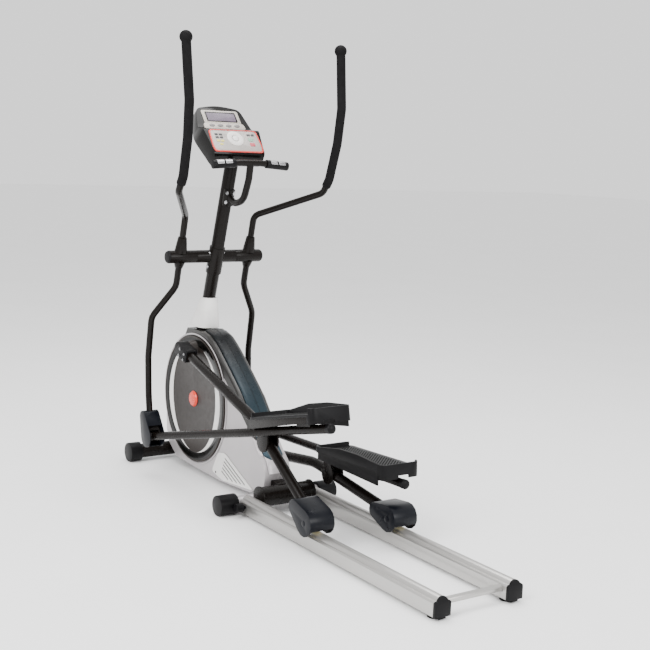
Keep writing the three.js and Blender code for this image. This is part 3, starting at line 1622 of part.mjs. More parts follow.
  // Crank bracket: the bearing round the crank pin and the socket for the arm's front end.
  const pinHeading = sideFrame(
    pin,
    Math.atan2(
      rollerArm(...ROLLER_ARM_BEND)[1] - pin[1],
      rollerArm(...ROLLER_ARM_BEND)[0] - pin[0],
    ),
  );
  const bracketBox = plateXZ(
    outline(
      [
        pinHeading(4, -BRACKET_HALF),
        pinHeading(BRACKET_LENGTH, -BRACKET_HALF),
        pinHeading(BRACKET_LENGTH, BRACKET_HALF),
        pinHeading(4, BRACKET_HALF),
      ],
      6,
    ),
    sign * (CRANK_PIN_Y - 24 + 2),
    sign * (CRANK_PIN_Y + 24),
  );
  add(
    `crank_bracket_${name}`,
    cut(
      join(
        barY(
          CRANK_BEARING_RADIUS,
          sign * CRANK_BEARING_INNER_Y,
          sign * (CRANK_BEARING_INNER_Y + CRANK_BEARING_WIDTH),
          ...pin,
        ),
        bracketBox,
      ),
      tubeAlong(
        [at(pinHeading(32, 0), CRANK_PIN_Y - 0.3), armStations[1]],
        10,
        ROLLER_ARM_RADIUS + SEAT_GAP + 0.3,
        14,
      ),
    ),
    paint.blackPlastic,
  );

  // Roller housing: a hood over the roller, with legs down beside the rail.
  const neckAt = rollerArm(
    ROLLER_ARM_LENGTH - 74 * Math.cos(rearHeading),
    -74 * Math.sin(rearHeading),
  );
  const hoodY = (offset) => sign * RAIL_Y + offset;
  const hood = plateXZ(
    outline(capsuleCorners(roller, ROLLER_HOUSING_RADIUS, neckAt, 27, 8)),
    hoodY(-ROLLER_HOUSING_HALF_WIDTH),
    hoodY(ROLLER_HOUSING_HALF_WIDTH),
  );
  const innerHalf = ROLLER_HOUSING_HALF_WIDTH - ROLLER_HOUSING_WALL;
  const cavity = barY(
    ROLLER_HOUSING_RADIUS - ROLLER_HOUSING_WALL,
    hoodY(-innerHalf),
    hoodY(innerHalf),
    ...roller,
    24,
  );
  const railSlot = box(
    roller[0] - 120,
    roller[0] + 120,
    hoodY(-innerHalf),
    hoodY(innerHalf),
    -20,
    RAIL_TOP_Z + 8,
  );
  add(
    `roller_housing_${name}`,
    cut(
      hood,
      cavity,
      railSlot,
      barY(ROLLER_STUB_RADIUS + RUN_GAP, hoodY(-80), hoodY(80), ...roller, 16),
      tubeAlong(
        [armStations[1], at(tubeEnd, RAIL_Y - 1).add(
          at(tubeEnd, RAIL_Y - 1).sub(armStations[1]).setLength(SEAT_GAP),
        )],
        10,
        ROLLER_ARM_RADIUS + SEAT_GAP + 0.3,
        14,
      ),
    ),
    paint.blackPlastic,
  );
  add(
    `roller_${name}`,
    join(
      barY(ROLLER_RADIUS, hoodY(-ROLLER_HALF_WIDTH), hoodY(ROLLER_HALF_WIDTH), ...roller, 28),
      barY(
        ROLLER_STUB_RADIUS,
        hoodY(-ROLLER_HOUSING_HALF_WIDTH),
        hoodY(ROLLER_HOUSING_HALF_WIDTH),
        ...roller,
        16,
      ),
    ),
    paint.creamPlastic,
  );
}

// ---- Origin at the middle of the footprint, on the floor -----------------------------------------

const extent = new THREE.Box3().setFromObject(trainer);
const middle = extent.getCenter(new THREE.Vector3());
trainer.position.set(-middle.x, 0, -extent.min.z);

const elliptical = new THREE.Group();
elliptical.add(trainer);

export default elliptical;
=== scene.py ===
import json
import math

import bmesh
import bpy
from mathutils import Matrix, Vector

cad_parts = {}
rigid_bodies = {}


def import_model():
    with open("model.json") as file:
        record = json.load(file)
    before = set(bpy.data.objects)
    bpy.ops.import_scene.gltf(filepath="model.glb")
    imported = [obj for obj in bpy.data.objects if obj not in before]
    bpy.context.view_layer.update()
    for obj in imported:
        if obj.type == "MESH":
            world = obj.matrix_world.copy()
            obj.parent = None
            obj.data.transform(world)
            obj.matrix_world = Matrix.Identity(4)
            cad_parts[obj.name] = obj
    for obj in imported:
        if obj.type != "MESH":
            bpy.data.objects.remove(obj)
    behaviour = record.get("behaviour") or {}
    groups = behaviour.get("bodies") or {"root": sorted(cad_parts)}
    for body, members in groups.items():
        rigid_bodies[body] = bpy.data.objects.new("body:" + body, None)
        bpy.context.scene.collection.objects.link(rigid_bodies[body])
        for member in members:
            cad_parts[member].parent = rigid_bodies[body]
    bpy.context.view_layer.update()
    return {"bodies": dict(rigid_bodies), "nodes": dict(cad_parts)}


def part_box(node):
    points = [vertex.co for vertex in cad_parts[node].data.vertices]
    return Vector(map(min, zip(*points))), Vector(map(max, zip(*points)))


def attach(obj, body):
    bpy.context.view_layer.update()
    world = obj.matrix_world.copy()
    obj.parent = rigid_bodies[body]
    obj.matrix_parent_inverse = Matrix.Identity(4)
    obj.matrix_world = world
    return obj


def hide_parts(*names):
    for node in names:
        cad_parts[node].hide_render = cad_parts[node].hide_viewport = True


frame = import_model()

MM = 0.001
SIDES = (("left", -1), ("right", 1))

# ---- Driving places, in millimetres of the machine's own side view ---------------------------
# Machine x is measured from a point near the crank, so the frame's crank gives the shift.

CRANK = (-158, 302)
CRANK_THROW = 204
CRANK_ANGLE = 90.8
DISC_FACE_Y = 60
PIVOT = (-126, 872)
SWING_LENGTH = 711.3
SWING_LEAN = 13.6
HUB_TUBE_Y = 150
TUBE_RADIUS = 12.7
GRIP_RADIUS = 17
GRIP_BALL_RADIUS = 23
ROLLER_ARM_LENGTH = 1094.1
SADDLE = (712.5, 99.1)
ROLLER_Z = 98.8
PEDAL_ARM_REACH = 735
PEDAL_ARM_RADIUS = 15.5
PEDAL_START = 731
PEDAL_LENGTH = 403
PEDAL_INNER_Y = 50
PEDAL_OUTER_Y = 208
PEDAL_BASE = 44
TREAD_TOP = 8
POST_SLOPE = 0.29
POST_FOOT = (-163.5, 702)
HOUSING_FACE_Y = 54
SPINE_LINE = [
    (-112, 577), (-56, 562), (5, 526), (67, 479), (133, 428), (198, 372),
    (262, 300), (299, 242), (334, 205), (378, 168),
]
SPINE_HALF_WIDTH = 40
BAND_START = (76, 424)
BAND_SLOPE = 0.816
VENT_CORNERS = [(50, 132), (100, 140), (316, 50), (88, 30), (2, 48)]
CONSOLE_FOOT = (39, 1238)
CONSOLE_TILT = 49.8
POD_HEIGHT = 37
BUTTON_UP = 85
PULSE_BAR_DROP = 9

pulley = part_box("drive_pulley")
SHIFT = (pulley[0][0] + pulley[1][0]) / 2 - CRANK[0] * MM


def at(x, y, z):
    """A machine place in millimetres, as a point of the part's frame."""
    return Vector((x * MM + SHIFT, y * MM, z * MM))


# ---- Materials -------------------------------------------------------------------------------


class Surface:
    """A Principled material whose noise works in the object's own coordinates."""

    def __init__(self, name, colour, roughness, metallic=0.0):
        self.material = bpy.data.materials.new(name)
        self.material.use_nodes = True
        self.nodes = self.material.node_tree.nodes
        self.links = self.material.node_tree.links
        self.shader = self.nodes["Principled BSDF"]
        self.colour = colour
        self.roughness = roughness
        self.shader.inputs["Metallic"].default_value = metallic
        self.place = self.nodes.new("ShaderNodeTexCoord").outputs["Object"]
        self.normal = None

    def set(self, **sockets):
        for name, value in sockets.items():
            self.shader.inputs[name.replace("_", " ")].default_value = value
        return self

    def noise(self, scale, detail=3.0, stretch=(1, 1, 1)):
        mapping = self.nodes.new("ShaderNodeMapping")
        mapping.inputs["Scale"].default_value = stretch
        self.links.new(self.place, mapping.inputs["Vector"])
        noise = self.nodes.new("ShaderNodeTexNoise")
        noise.inputs["Scale"].default_value = scale
        noise.inputs["Detail"].default_value = detail
        self.links.new(mapping.outputs["Vector"], noise.inputs["Vector"])
        return noise.outputs["Fac"]

    def spread(self, value, low, high, start=0.3, end=0.7):
        ramp = self.nodes.new("ShaderNodeMapRange")
        ramp.inputs["From Min"].default_value = start
        ramp.inputs["From Max"].default_value = end
        ramp.inputs["To Min"].default_value = low
        ramp.inputs["To Max"].default_value = high
        self.links.new(value, ramp.inputs["Value"])
        return ramp.outputs["Result"]

    def mix(self, factor, first, second):
        node = self.nodes.new("ShaderNodeMix")
        node.data_type = "RGBA"
        self.links.new(factor, node.inputs["Factor"])
        for socket, value in ((node.inputs[6], first), (node.inputs[7], second)):
            if hasattr(value, "is_output"):
                self.links.new(value, socket)
            else:
                socket.default_value = (*value, 1)
        return node.outputs[2]

    def vary(self, amount=0.12, scale=14.0, rough=0.07, rough_scale=60.0, stretch=(1, 1, 1)):
        """Faint changes of tone and of gloss."""
        dark = tuple(c * (1 - amount) for c in self.colour)
        light = tuple(min(1, c * (1 + amount)) for c in self.colour)
        tone = self.spread(self.noise(scale, stretch=stretch), 0, 1)
        self.links.new(self.mix(tone, dark, light), self.shader.inputs["Base Color"])
        gloss = self.spread(
            self.noise(rough_scale, 4, stretch), self.roughness - rough, self.roughness + rough
        )
        self.links.new(gloss, self.shader.inputs["Roughness"])
        return self

    def bump(self, height, strength, distance):
        node = self.nodes.new("ShaderNodeBump")
        node.inputs["Strength"].default_value = strength
        node.inputs["Distance"].default_value = distance
        self.links.new(height, node.inputs["Height"])
        if self.normal is not None:
            self.links.new(self.normal, node.inputs["Normal"])
        self.normal = node.outputs["Normal"]
        self.links.new(self.normal, self.shader.inputs["Normal"])
        return self

    def grain(self, scale, strength=0.25, distance=0.0004, detail=3.0, stretch=(1, 1, 1)):
        return self.bump(self.noise(scale, detail, stretch), strength, distance)


def paint(name, colour, roughness, metallic=0.0, grain=220, strength=0.12, distance=0.0003):
    surface = Surface(name, colour, roughness, metallic).vary(0.08, 14, 0.03)
    return surface.grain(grain, strength, distance)


black_paint = paint("black_powder_coat", (0.0048, 0.0036, 0.003), 0.27, 0.0, 420, 0.02)
black_paint.set(Specular_IOR_Level=0.13)
black_plastic = paint("black_moulded_plastic", (0.0042, 0.004, 0.0045), 0.4, 0, 900, 0.04)
black_plastic.set(Specular_IOR_Level=0.11)
blue_black = paint("blue_black_plastic", (0.0038, 0.0045, 0.007), 0.3, 0, 700, 0.02)
blue_black.set(Specular_IOR_Level=0.16)
gloss_black = paint("gloss_black_plastic", (0.003, 0.0028, 0.0026), 0.14, 0, 120, 0.03)
gloss_black.set(Specular_IOR_Level=0.17)
foam = Surface("foam_grip", (0.006, 0.0056, 0.006), 0.7).vary(0.2, 40, 0.08)
foam.grain(900, 0.25, 0.0004, 2).grain(260, 0.12, 0.0003)
foam.set(Specular_IOR_Level=0.07)
rubber = Surface("rubber", (0.004, 0.004, 0.004), 0.6).vary().grain(600, 0.2, 0.0004)
rubber.set(Specular_IOR_Level=0.15)
silver = Surface("silver_plastic", (0.42, 0.395, 0.402), 0.36, 0.25).vary(0.05, 6, 0.04)
silver.grain(1400, 0.08, 0.0002).set(Coat_Weight=0.25, Coat_Roughness=0.2)
white = paint("white_satin_plastic", (0.74, 0.725, 0.705), 0.36, 0, 500, 0.08)
disc_paint = Surface("disc_taupe", (0.02, 0.0155, 0.0135), 0.36).vary(0.1, 4, 0.06)
disc_paint.grain(500, 0.03, 0.0002).set(Specular_IOR_Level=0.22)
red = paint("orange_red_plastic", (0.75, 0.04, 0.012), 0.28, 0, 300, 0.06)
red_trim = paint("red_trim", (0.62, 0.035, 0.025), 0.3, 0, 300, 0.06)
aluminium = Surface("anodised_aluminium", (0.43, 0.42, 0.405), 0.32, 0.8)
aluminium.vary(0.025, 10, 0.02, 90, (0.02, 1, 1)).grain(1600, 0.05, 0.0001, 2, (0.012, 1, 1))
steel = Surface("machined_steel", (0.42, 0.42, 0.43), 0.3, 1.0).vary(0.1, 30, 0.08)
steel.grain(500, 0.12, 0.0002)
cast_iron = Surface("turned_iron", (0.07, 0.07, 0.073), 0.5, 0.6).vary().grain(300, 0.3)
cream = Surface("urethane", (0.72, 0.64, 0.36), 0.42).vary(0.08, 20).grain(250, 0.15)
cream.set(Subsurface_Weight=0.1, Subsurface_Radius=(0.01, 0.008, 0.004))
keypad = paint("keypad_silver", (0.33, 0.305, 0.285), 0.4, 0.2, 700, 0.12)
bezel_grey = paint("bezel_grey", (0.36, 0.33, 0.295), 0.36, 0.2, 500, 0.08)
screen = Surface("screen", (0.13, 0.105, 0.14), 0.2).vary(0.15, 18, 0.03)
screen.set(Specular_IOR_Level=0.2)
dark_mark = paint("dark_print", (0.03, 0.028, 0.03), 0.5)
key_grey = paint("grey_key", (0.13, 0.12, 0.12), 0.35)
green_key = paint("green_key", (0.2, 0.33, 0.25), 0.4)
yellow_key = paint("yellow_key", (0.62, 0.55, 0.12), 0.4)
red_key = paint("red_key", (0.42, 0.06, 0.08), 0.4)
off_white = paint("off_white_print", (0.72, 0.69, 0.66), 0.38)


def spine_surface():
    """Pearl paint that runs from blue-black at the top to teal-blue lower down."""
    surface = Surface("spine_pearl", (0.02, 0.03, 0.04), 0.3, 0.35)
    split = surface.nodes.new("ShaderNodeSeparateXYZ")
    surface.links.new(surface.place, split.inputs["Vector"])
    height = surface.spread(split.outputs["Z"], 1, 0, 0.2, 0.53)
    tone = surface.mix(height, (0.003, 0.004, 0.005), (0.02, 0.04, 0.053))
    surface.links.new(tone, surface.shader.inputs["Base Color"])
    gloss = surface.spread(surface.noise(40), 0.24, 0.34)
    surface.links.new(gloss, surface.shader.inputs["Roughness"])
    surface.grain(1500, 0.02, 0.0001)
    return surface.set(Specular_IOR_Level=0.25)


def housing_surface():
    """Silver paint, with graphite over the top between the disc and the spine."""
    surface = Surface("housing_paint", silver.colour, 0.36, 0.25).vary(0.05, 6, 0.04)
    start = at(BAND_START[0], 0, BAND_START[1])
    split = surface.nodes.new("ShaderNodeSeparateXYZ")
    surface.links.new(surface.place, split.inputs["Vector"])
    drop = surface.nodes.new("ShaderNodeMath")
    drop.operation = "MULTIPLY_ADD"
    surface.links.new(split.outputs["X"], drop.inputs[0])
    drop.inputs[1].default_value = BAND_SLOPE
    drop.inputs[2].default_value = -start.x * BAND_SLOPE
    behind = surface.nodes.new("ShaderNodeMath")
    behind.operation = "MAXIMUM"
    surface.links.new(drop.outputs[0], behind.inputs[0])
    behind.inputs[1].default_value = 0
    above = surface.nodes.new("ShaderNodeMath")
    above.operation = "ADD"
    surface.links.new(behind.outputs[0], above.inputs[0])
    surface.links.new(split.outputs["Z"], above.inputs[1])
    band = surface.spread(above.outputs[0], 0, 1, start.z, start.z + 0.0015)
    under = surface.shader.inputs["Base Color"].links[0].from_socket
    tone = surface.mix(band, under, (0.0135, 0.012, 0.0105))
    surface.links.new(tone, surface.shader.inputs["Base Color"])
    surface.grain(1400, 0.08, 0.0002)
    return surface.set(Coat_Weight=0.3, Coat_Roughness=0.2)


spine_paint = spine_surface()
housing_paint = housing_surface()

# ---- Mesh helpers, in millimetres of the machine frame unless a point says otherwise ---------


def rounded(corners, radius, steps=5):
    """The closed outline with each corner rounded where its sides allow it."""
    points = [Vector(c) for c in corners]
    made = []
    for i, corner in enumerate(points):
        into = corner - points[i - 1]
        out = points[(i + 1) % len(points)] - corner
        trim = min(radius, 0.45 * min(into.length, out.length))
        enter = corner - into.normalized() * trim
        leave = corner + out.normalized() * trim
        for k in range(steps + 1):
            t = k / steps
            made.append((1 - t) ** 2 * enter + 2 * t * (1 - t) * corner + t * t * leave)
    return made


def filleted(points, radius, step=math.radians(5)):
    """A path of straight runs joined by round bends, as close stations."""
    points = [Vector(p) for p in points]
    stations = [points[0]]
    for before, corner, after in zip(points, points[1:], points[2:]):
        into, out = corner - before, after - corner
        turn = into.angle(out)
        trim = min(radius * MM * math.tan(turn / 2), 0.45 * min(into.length, out.length))
        enter = corner - into.normalized() * trim
        leave = corner + out.normalized() * trim
        count = max(2, round(turn / step))
        for k in range(count + 1):
            t = k / count
            stations.append((1 - t) ** 2 * enter + 2 * t * (1 - t) * corner + t * t * leave)
    stations.append(points[-1])
    return stations


def sweep(bm, stations, radii, sides=32, rounding=1.5):
    """A round bar along the stations; radii is one size or one for each station."""
    if not isinstance(radii, (list, tuple)):
        radii = [radii] * len(stations)
    first = (stations[1] - stations[0]).normalized()
    last = (stations[-1] - stations[-2]).normalized()
    soft = rounding * MM
    rows = [(stations[0], first, radii[0] - rounding)]
    rows.append((stations[0] + first * soft * 0.3, first, radii[0] - 0.3 * rounding))
    rows.append((stations[0] + first * soft, first, radii[0]))
    for i in range(1, len(stations) - 1):
        way = (stations[i + 1] - stations[i - 1]).normalized()
        rows.append((stations[i], way, radii[i]))
    rows.append((stations[-1] - last * soft, last, radii[-1]))
    rows.append((stations[-1] - last * soft * 0.3, last, radii[-1] - 0.3 * rounding))
    rows.append((stations[-1], last, radii[-1] - rounding))
    side = first.orthogonal().normalized()
    rings = []
    for place, way, radius in rows:
        side = (side - way * side.dot(way)).normalized()
        other = way.cross(side)
        ring = []
        for k in range(sides):
            angle = 2 * math.pi * k / sides
            reach = side * math.cos(angle) + other * math.sin(angle)
            ring.append(bm.verts.new(place + reach * max(radius, 0.05) * MM))
        rings.append(ring)
    for low, high in zip(rings, rings[1:]):
        for k in range(sides):
            n = (k + 1) % sides
            bm.faces.new((low[k], low[n], high[n], high[k]))
    bm.faces.new(rings[0][::-1])
    bm.faces.new(rings[-1])


def lathe(bm, profile, origin, axis, sides=56, ring_shaped=False):
    """A turned body from radius and height pairs in mm; a ring-shaped one has a closed profile."""
    axis = Vector(axis).normalized()
    side = axis.orthogonal().normalized()
    other = axis.cross(side)
    rings = []
    for radius, height in profile:
        centre = origin + axis * height * MM
        if radius <= 0:
            rings.append([bm.verts.new(centre)])
            continue
        ring = []
        for k in range(sides):
            angle = 2 * math.pi * k / sides
            reach = side * math.cos(angle) + other * math.sin(angle)
            ring.append(bm.verts.new(centre + reach * radius * MM))
        rings.append(ring)
    pairs = list(zip(rings, rings[1:]))
    if ring_shaped:
        pairs.append((rings[-1], rings[0]))
    for low, high in pairs:
        for k in range(sides):
            n = (k + 1) % sides
            corners = [low[k % len(low)], low[n % len(low)]]
            corners += [high[n % len(high)], high[k % len(high)]]
            corners = list(dict.fromkeys(corners))
            if len(corners) > 2:
                bm.faces.new(corners)
    for ring, turn in ((rings[0], -1), (rings[-1], 1)):
        if len(ring) > 2 and not ring_shaped:
            bm.faces.new(ring[::turn])


def prism(bm, outline, low, high, place):
    """An outline carried from low to high; place turns (u, v, w) into a point."""
    bottom = [bm.verts.new(place(u, v, low)) for u, v in outline]
    top = [bm.verts.new(place(u, v, high)) for u, v in outline]
    count = len(outline)
    faces = [bm.faces.new(bottom[::-1]), bm.faces.new(top)]
    for k in range(count):
        n = (k + 1) % count
        faces.append(bm.faces.new((bottom[k], bottom[n], top[n], top[k])))
    return faces


def side_view(u, v, w):
    return at(u, w, v)


def bevel_sharp(bm, width, segments=3, limit=35):
    """Rounds every edge that turns by more than the limit."""
    bmesh.ops.recalc_face_normals(bm, faces=bm.faces)
    edges = [
        e for e in bm.edges
        if len(e.link_faces) == 2 and e.calc_face_angle(0) > math.radians(limit)
    ]
    bmesh.ops.bevel(
        bm, geom=edges, offset=width * MM, segments=segments, profile=0.6,
        affect="EDGES", clamp_overlap=True,
    )


def finish_piece(name, bm, surfaces, body, stands_for=(), sharp=32):
    bmesh.ops.remove_doubles(bm, verts=bm.verts, dist=1e-6)
    bmesh.ops.recalc_face_normals(bm, faces=bm.faces)
    shade_sheet = bpy.data.meshes.new(name)
    bm.to_mesh(shade_sheet)
    bm.free()
    for surface in surfaces if isinstance(surfaces, (list, tuple)) else [surfaces]:
        shade_sheet.materials.append(surface.material)
    shade_sheet.shade_smooth()
    shade_sheet.set_sharp_from_angle(angle=math.radians(sharp))
    piece = bpy.data.objects.new(name, shade_sheet)
    bpy.context.scene.collection.objects.link(piece)
    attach(piece, body)
    if stands_for:
        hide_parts(*stands_for)
    return piece


def body_of(node):
    parent = frame["nodes"][node].parent
    return next(name for name, empty in frame["bodies"].items() if empty == parent)


def refined(node, surface, width=1.2, segments=2, limit=40):
    """The CAD node's shape as a finished piece, with its sharp edges rounded."""
    bm = bmesh.new()
    bm.from_mesh(frame["nodes"][node].data)
    bm.transform(frame["nodes"][node].matrix_world)
    bmesh.ops.remove_doubles(bm, verts=bm.verts, dist=2e-5)
    bmesh.ops.dissolve_limit(
        bm, angle_limit=math.radians(1.5), verts=bm.verts, edges=bm.edges
    )
    bevel_sharp(bm, width, segments, limit)
    return finish_piece(f"{node}_shell", bm, surface, body_of(node), (node,))


def bolt(bm, place, axis, radius=6.0, height=4.5):
    """A hexagon head on its washer."""
    lathe(bm, [(0, 0), (radius * 1.35, 0), (radius * 1.35, 1.2), (0, 1.2)], place, axis, 24)
    head = [(0, 1), (radius, 1), (radius, height - 0.8), (radius * 0.85, height), (0, height)]
    lathe(bm, head, place, axis, 6)


def inner(node, surface):
    """A CAD node that keeps its mesh and takes a better material."""
    node_object = frame["nodes"][node]
    for node_slot in node_object.material_slots:
        node_slot.material = surface.material


# ---- Linkage at rest -------------------------------------------------------------------------


def side_frame(origin, heading):
    c, s = math.cos(heading), math.sin(heading)
    return lambda u, v: (origin[0] + u * c - v * s, origin[1] + u * s + v * c)


def circles_meet(a, ra, b, rb):
    gap = math.dist(a, b)
    run = (ra**2 - rb**2 + gap**2) / (2 * gap)
    rise = math.sqrt(ra**2 - run**2)
    ux, uz = (b[0] - a[0]) / gap, (b[1] - a[1]) / gap
    return (a[0] + run * ux - rise * uz, a[1] + run * uz + rise * ux)


def linkage(angle):
    pin = (
        CRANK[0] + CRANK_THROW * math.cos(angle),
        CRANK[1] + CRANK_THROW * math.sin(angle),
    )
    drop = ROLLER_Z - pin[1]
    roller = (pin[0] + math.sqrt(ROLLER_ARM_LENGTH**2 - drop**2), ROLLER_Z)
    arm = side_frame(pin, math.atan2(drop, roller[0] - pin[0]))
    saddle = arm(*SADDLE)
    joint = circles_meet(saddle, PEDAL_ARM_REACH, PIVOT, SWING_LENGTH)
    heading = math.atan2(saddle[1] - joint[1], saddle[0] - joint[0])
    return pin, roller, arm, saddle, joint, side_frame(joint, heading)


LINKAGES = {
    "left": linkage(math.radians(CRANK_ANGLE)),
    "right": linkage(math.radians(CRANK_ANGLE) + math.pi),
}

# ---- Pieces that keep their CAD shape, with rounded edges ------------------------------------

FINISHES = {
    "main_frame": (black_paint, 1.0),
    "front_stabiliser": (black_paint, 1.5),
    "mid_stabiliser": (silver, 1.5),
    "front_foot_cap": (black_plastic, 2.5),
    "mid_foot_cap": (black_plastic, 2.5),
    "rail_cap": (black_plastic, 1.5),
    "rail_knob": (black_plastic, 1.5),
    "rail": (aluminium, 0.8),
    "rear_cross_rod": (aluminium, 1.0),
    "crank_disc": (disc_paint, 1.0),
    "disc_cap": (red, 1.8),
    "housing": (housing_paint, 0.9),
    "post_collar": (white, 2.0),
    "post": (black_paint, 1.0),
    "pivot_shaft": (steel, 1.0),
    "pivot_cap": (black_plastic, 1.5),
    "console_body": (gloss_black, 4.0),
    "console_keypad": (keypad, 0.7),
    "console_button": (white, 0.7),
    "pulse_bar": (black_paint, 0.8),
    "pulse_grip": (black_plastic, 1.5),
    "swing_arm": (black_paint, 0.8),
    "joint_cover": (blue_black, 1.2),
    "pedal_arm": (black_paint, 0.8),
    "pedal": (black_plastic, 1.5),
    "roller_arm": (black_paint, 0.8),
    "crank_bracket": (black_plastic, 1.5),
    "roller_housing": (blue_black, 1.5),
    "roller": (cream, 2.0),
}
CUSTOM = (
    "housing_spine",
    "handlebar_left", "handlebar_right", "foam_grip_left", "foam_grip_right",
)
INSIDE = {
    "crank_bearing_left": steel, "crank_bearing_right": steel, "crank_axle": steel,
    "drive_pulley": black_plastic, "flywheel": cast_iron, "flywheel_axle": steel,
    "drive_belt": rubber, "belt_idler": steel, "brake_magnet_bracket": steel,
}

bpy.context.view_layer.update()
for node in sorted(frame["nodes"]):
    if node in INSIDE:
        inner(node, INSIDE[node])
        continue
    if node in CUSTOM:
        continue
    stem = node.removesuffix("_left").removesuffix("_right")
    finish, edge_width = FINISHES[stem]
    refined(node, finish, edge_width)

# ---- Handlebars and foam grips ---------------------------------------------------------------


def swing_at(run, side):
    lean = math.radians(SWING_LEAN)
    x = PIVOT[0] + run * math.sin(lean)
    return at(x, side * HUB_TUBE_Y, PIVOT[1] + run * math.cos(lean))


GRIP_LINE = [
    (180, 307, 1161), (199, 308, 1189), (236, 313, 1322), (250, 317, 1451), (227, 321, 1638),
]
GRIP_BALL = (223, 321, 1664)

for name, side in SIDES:
    bm = bmesh.new()
    bar = [swing_at(38, side), swing_at(166, side)]
    bar += [at(x, side * y, z) for x, y, z in [(161, 306, 1135), *GRIP_LINE[1:]]]
    sweep(bm, filleted(bar, 45), TUBE_RADIUS, 28)
    finish_piece(
        f"handlebar_{name}_tube", bm, black_paint, f"swing_{name}",
        (f"handlebar_{name}",),
    )

    bm = bmesh.new()
    line = [at(x, side * y, z) for x, y, z in [*GRIP_LINE, GRIP_BALL]]
    stations = filleted(line, 60, math.radians(2))
    sweep(bm, stations, GRIP_RADIUS, 36, 3)
    heading = (line[-1] - line[-2]).normalized()
    ball = [
        (GRIP_BALL_RADIUS * math.sin(a), -(GRIP_BALL_RADIUS - 0.3) * math.cos(a))
        for a in (math.pi * k / 18 for k in range(19))
    ]
    ball[0] = (0, ball[0][1])
    ball[-1] = (0, ball[-1][1])
    lathe(bm, ball, line[-1], heading, 36)
    grip = finish_piece(
        f"foam_grip_{name}_sleeve", bm, foam, f"swing_{name}", (f"foam_grip_{name}",)
    )

# ---- Discs -----------------------------------------------------------------------------------

BLACK_RING = (216, 244.6)
CRESCENT_OUTER = 214
CRESCENT_WIDTH = 34
CRESCENTS = ((70, -80), (110, 262))

for name, side in SIDES:
    bm = bmesh.new()
    hub = at(CRANK[0], side * DISC_FACE_Y, CRANK[1])
    inner_edge, outer_edge = BLACK_RING
    ring = [
        (inner_edge, -0.4), (inner_edge, 0.6), (inner_edge + 0.8, 1),
        (outer_edge, 1), (outer_edge, -0.4),
    ]
    lathe(bm, ring, hub, (0, side, 0), 128, ring_shaped=True)
    finish_piece(f"disc_{name}_black_ring", bm, gloss_black, "crank")
    bm = bmesh.new()
    for start, end in CRESCENTS:
        steps = 48
        outside, inside = [], []
        for k in range(steps + 1):
            angle = math.radians(start + (end - start) * k / steps)
            width = CRESCENT_WIDTH * math.sin(math.pi * k / steps) ** 1.3 + 0.3
            direction = (math.cos(angle), math.sin(angle))
            outside.append([CRANK[i] + CRESCENT_OUTER * direction[i] for i in (0, 1)])
            inside.append([CRANK[i] + (CRESCENT_OUTER - width) * direction[i] for i in (0, 1)])
        outline = outside + inside[::-1]
        low, high = side * (DISC_FACE_Y - 0.4), side * (DISC_FACE_Y + 0.9)
        prism(bm, outline, low, high, side_view)
    finish_piece(f"disc_{name}_crescents", bm, white, "crank")
    bm = bmesh.new()
    rim = [(255.5, -1), (255.5, 0.8), (257, 1.6), (260.2, 1.6), (261.6, 0.6), (261.6, -1)]
    lathe(bm, rim, at(CRANK[0], side * 57.5, CRANK[1]), (0, side, 0), 128, ring_shaped=True)
    finish_piece(f"housing_{name}_bright_ring", bm, silver, "frame")

# ---- Housing: vent panels, screws and seam ---------------------------------------------------

VENT_RUN = (0.923, -0.385)
VENT_DROP = (-0.385, -0.923)
VENT_SLOTS = (165, 140, 112, 84, 52)
VENT_PITCH = 15.0
VENT_SLOT_RADIUS = 3.2
VENT_FIRST_SLOT = (110, 133)
VENT_FIRST_DROP = 14


def cut_through(piece, cutter):
    """Takes the cutter out of the piece for good."""
    step = piece.modifiers.new("cut", "BOOLEAN")
    step.operation = "DIFFERENCE"
    step.solver = "EXACT"
    step.object = cutter
    bpy.context.view_layer.update()
    graph = bpy.context.evaluated_depsgraph_get()
    made = bpy.data.meshes.new_from_object(piece.evaluated_get(graph))
    piece.modifiers.clear()
    piece.data = made
    bpy.data.objects.remove(cutter)


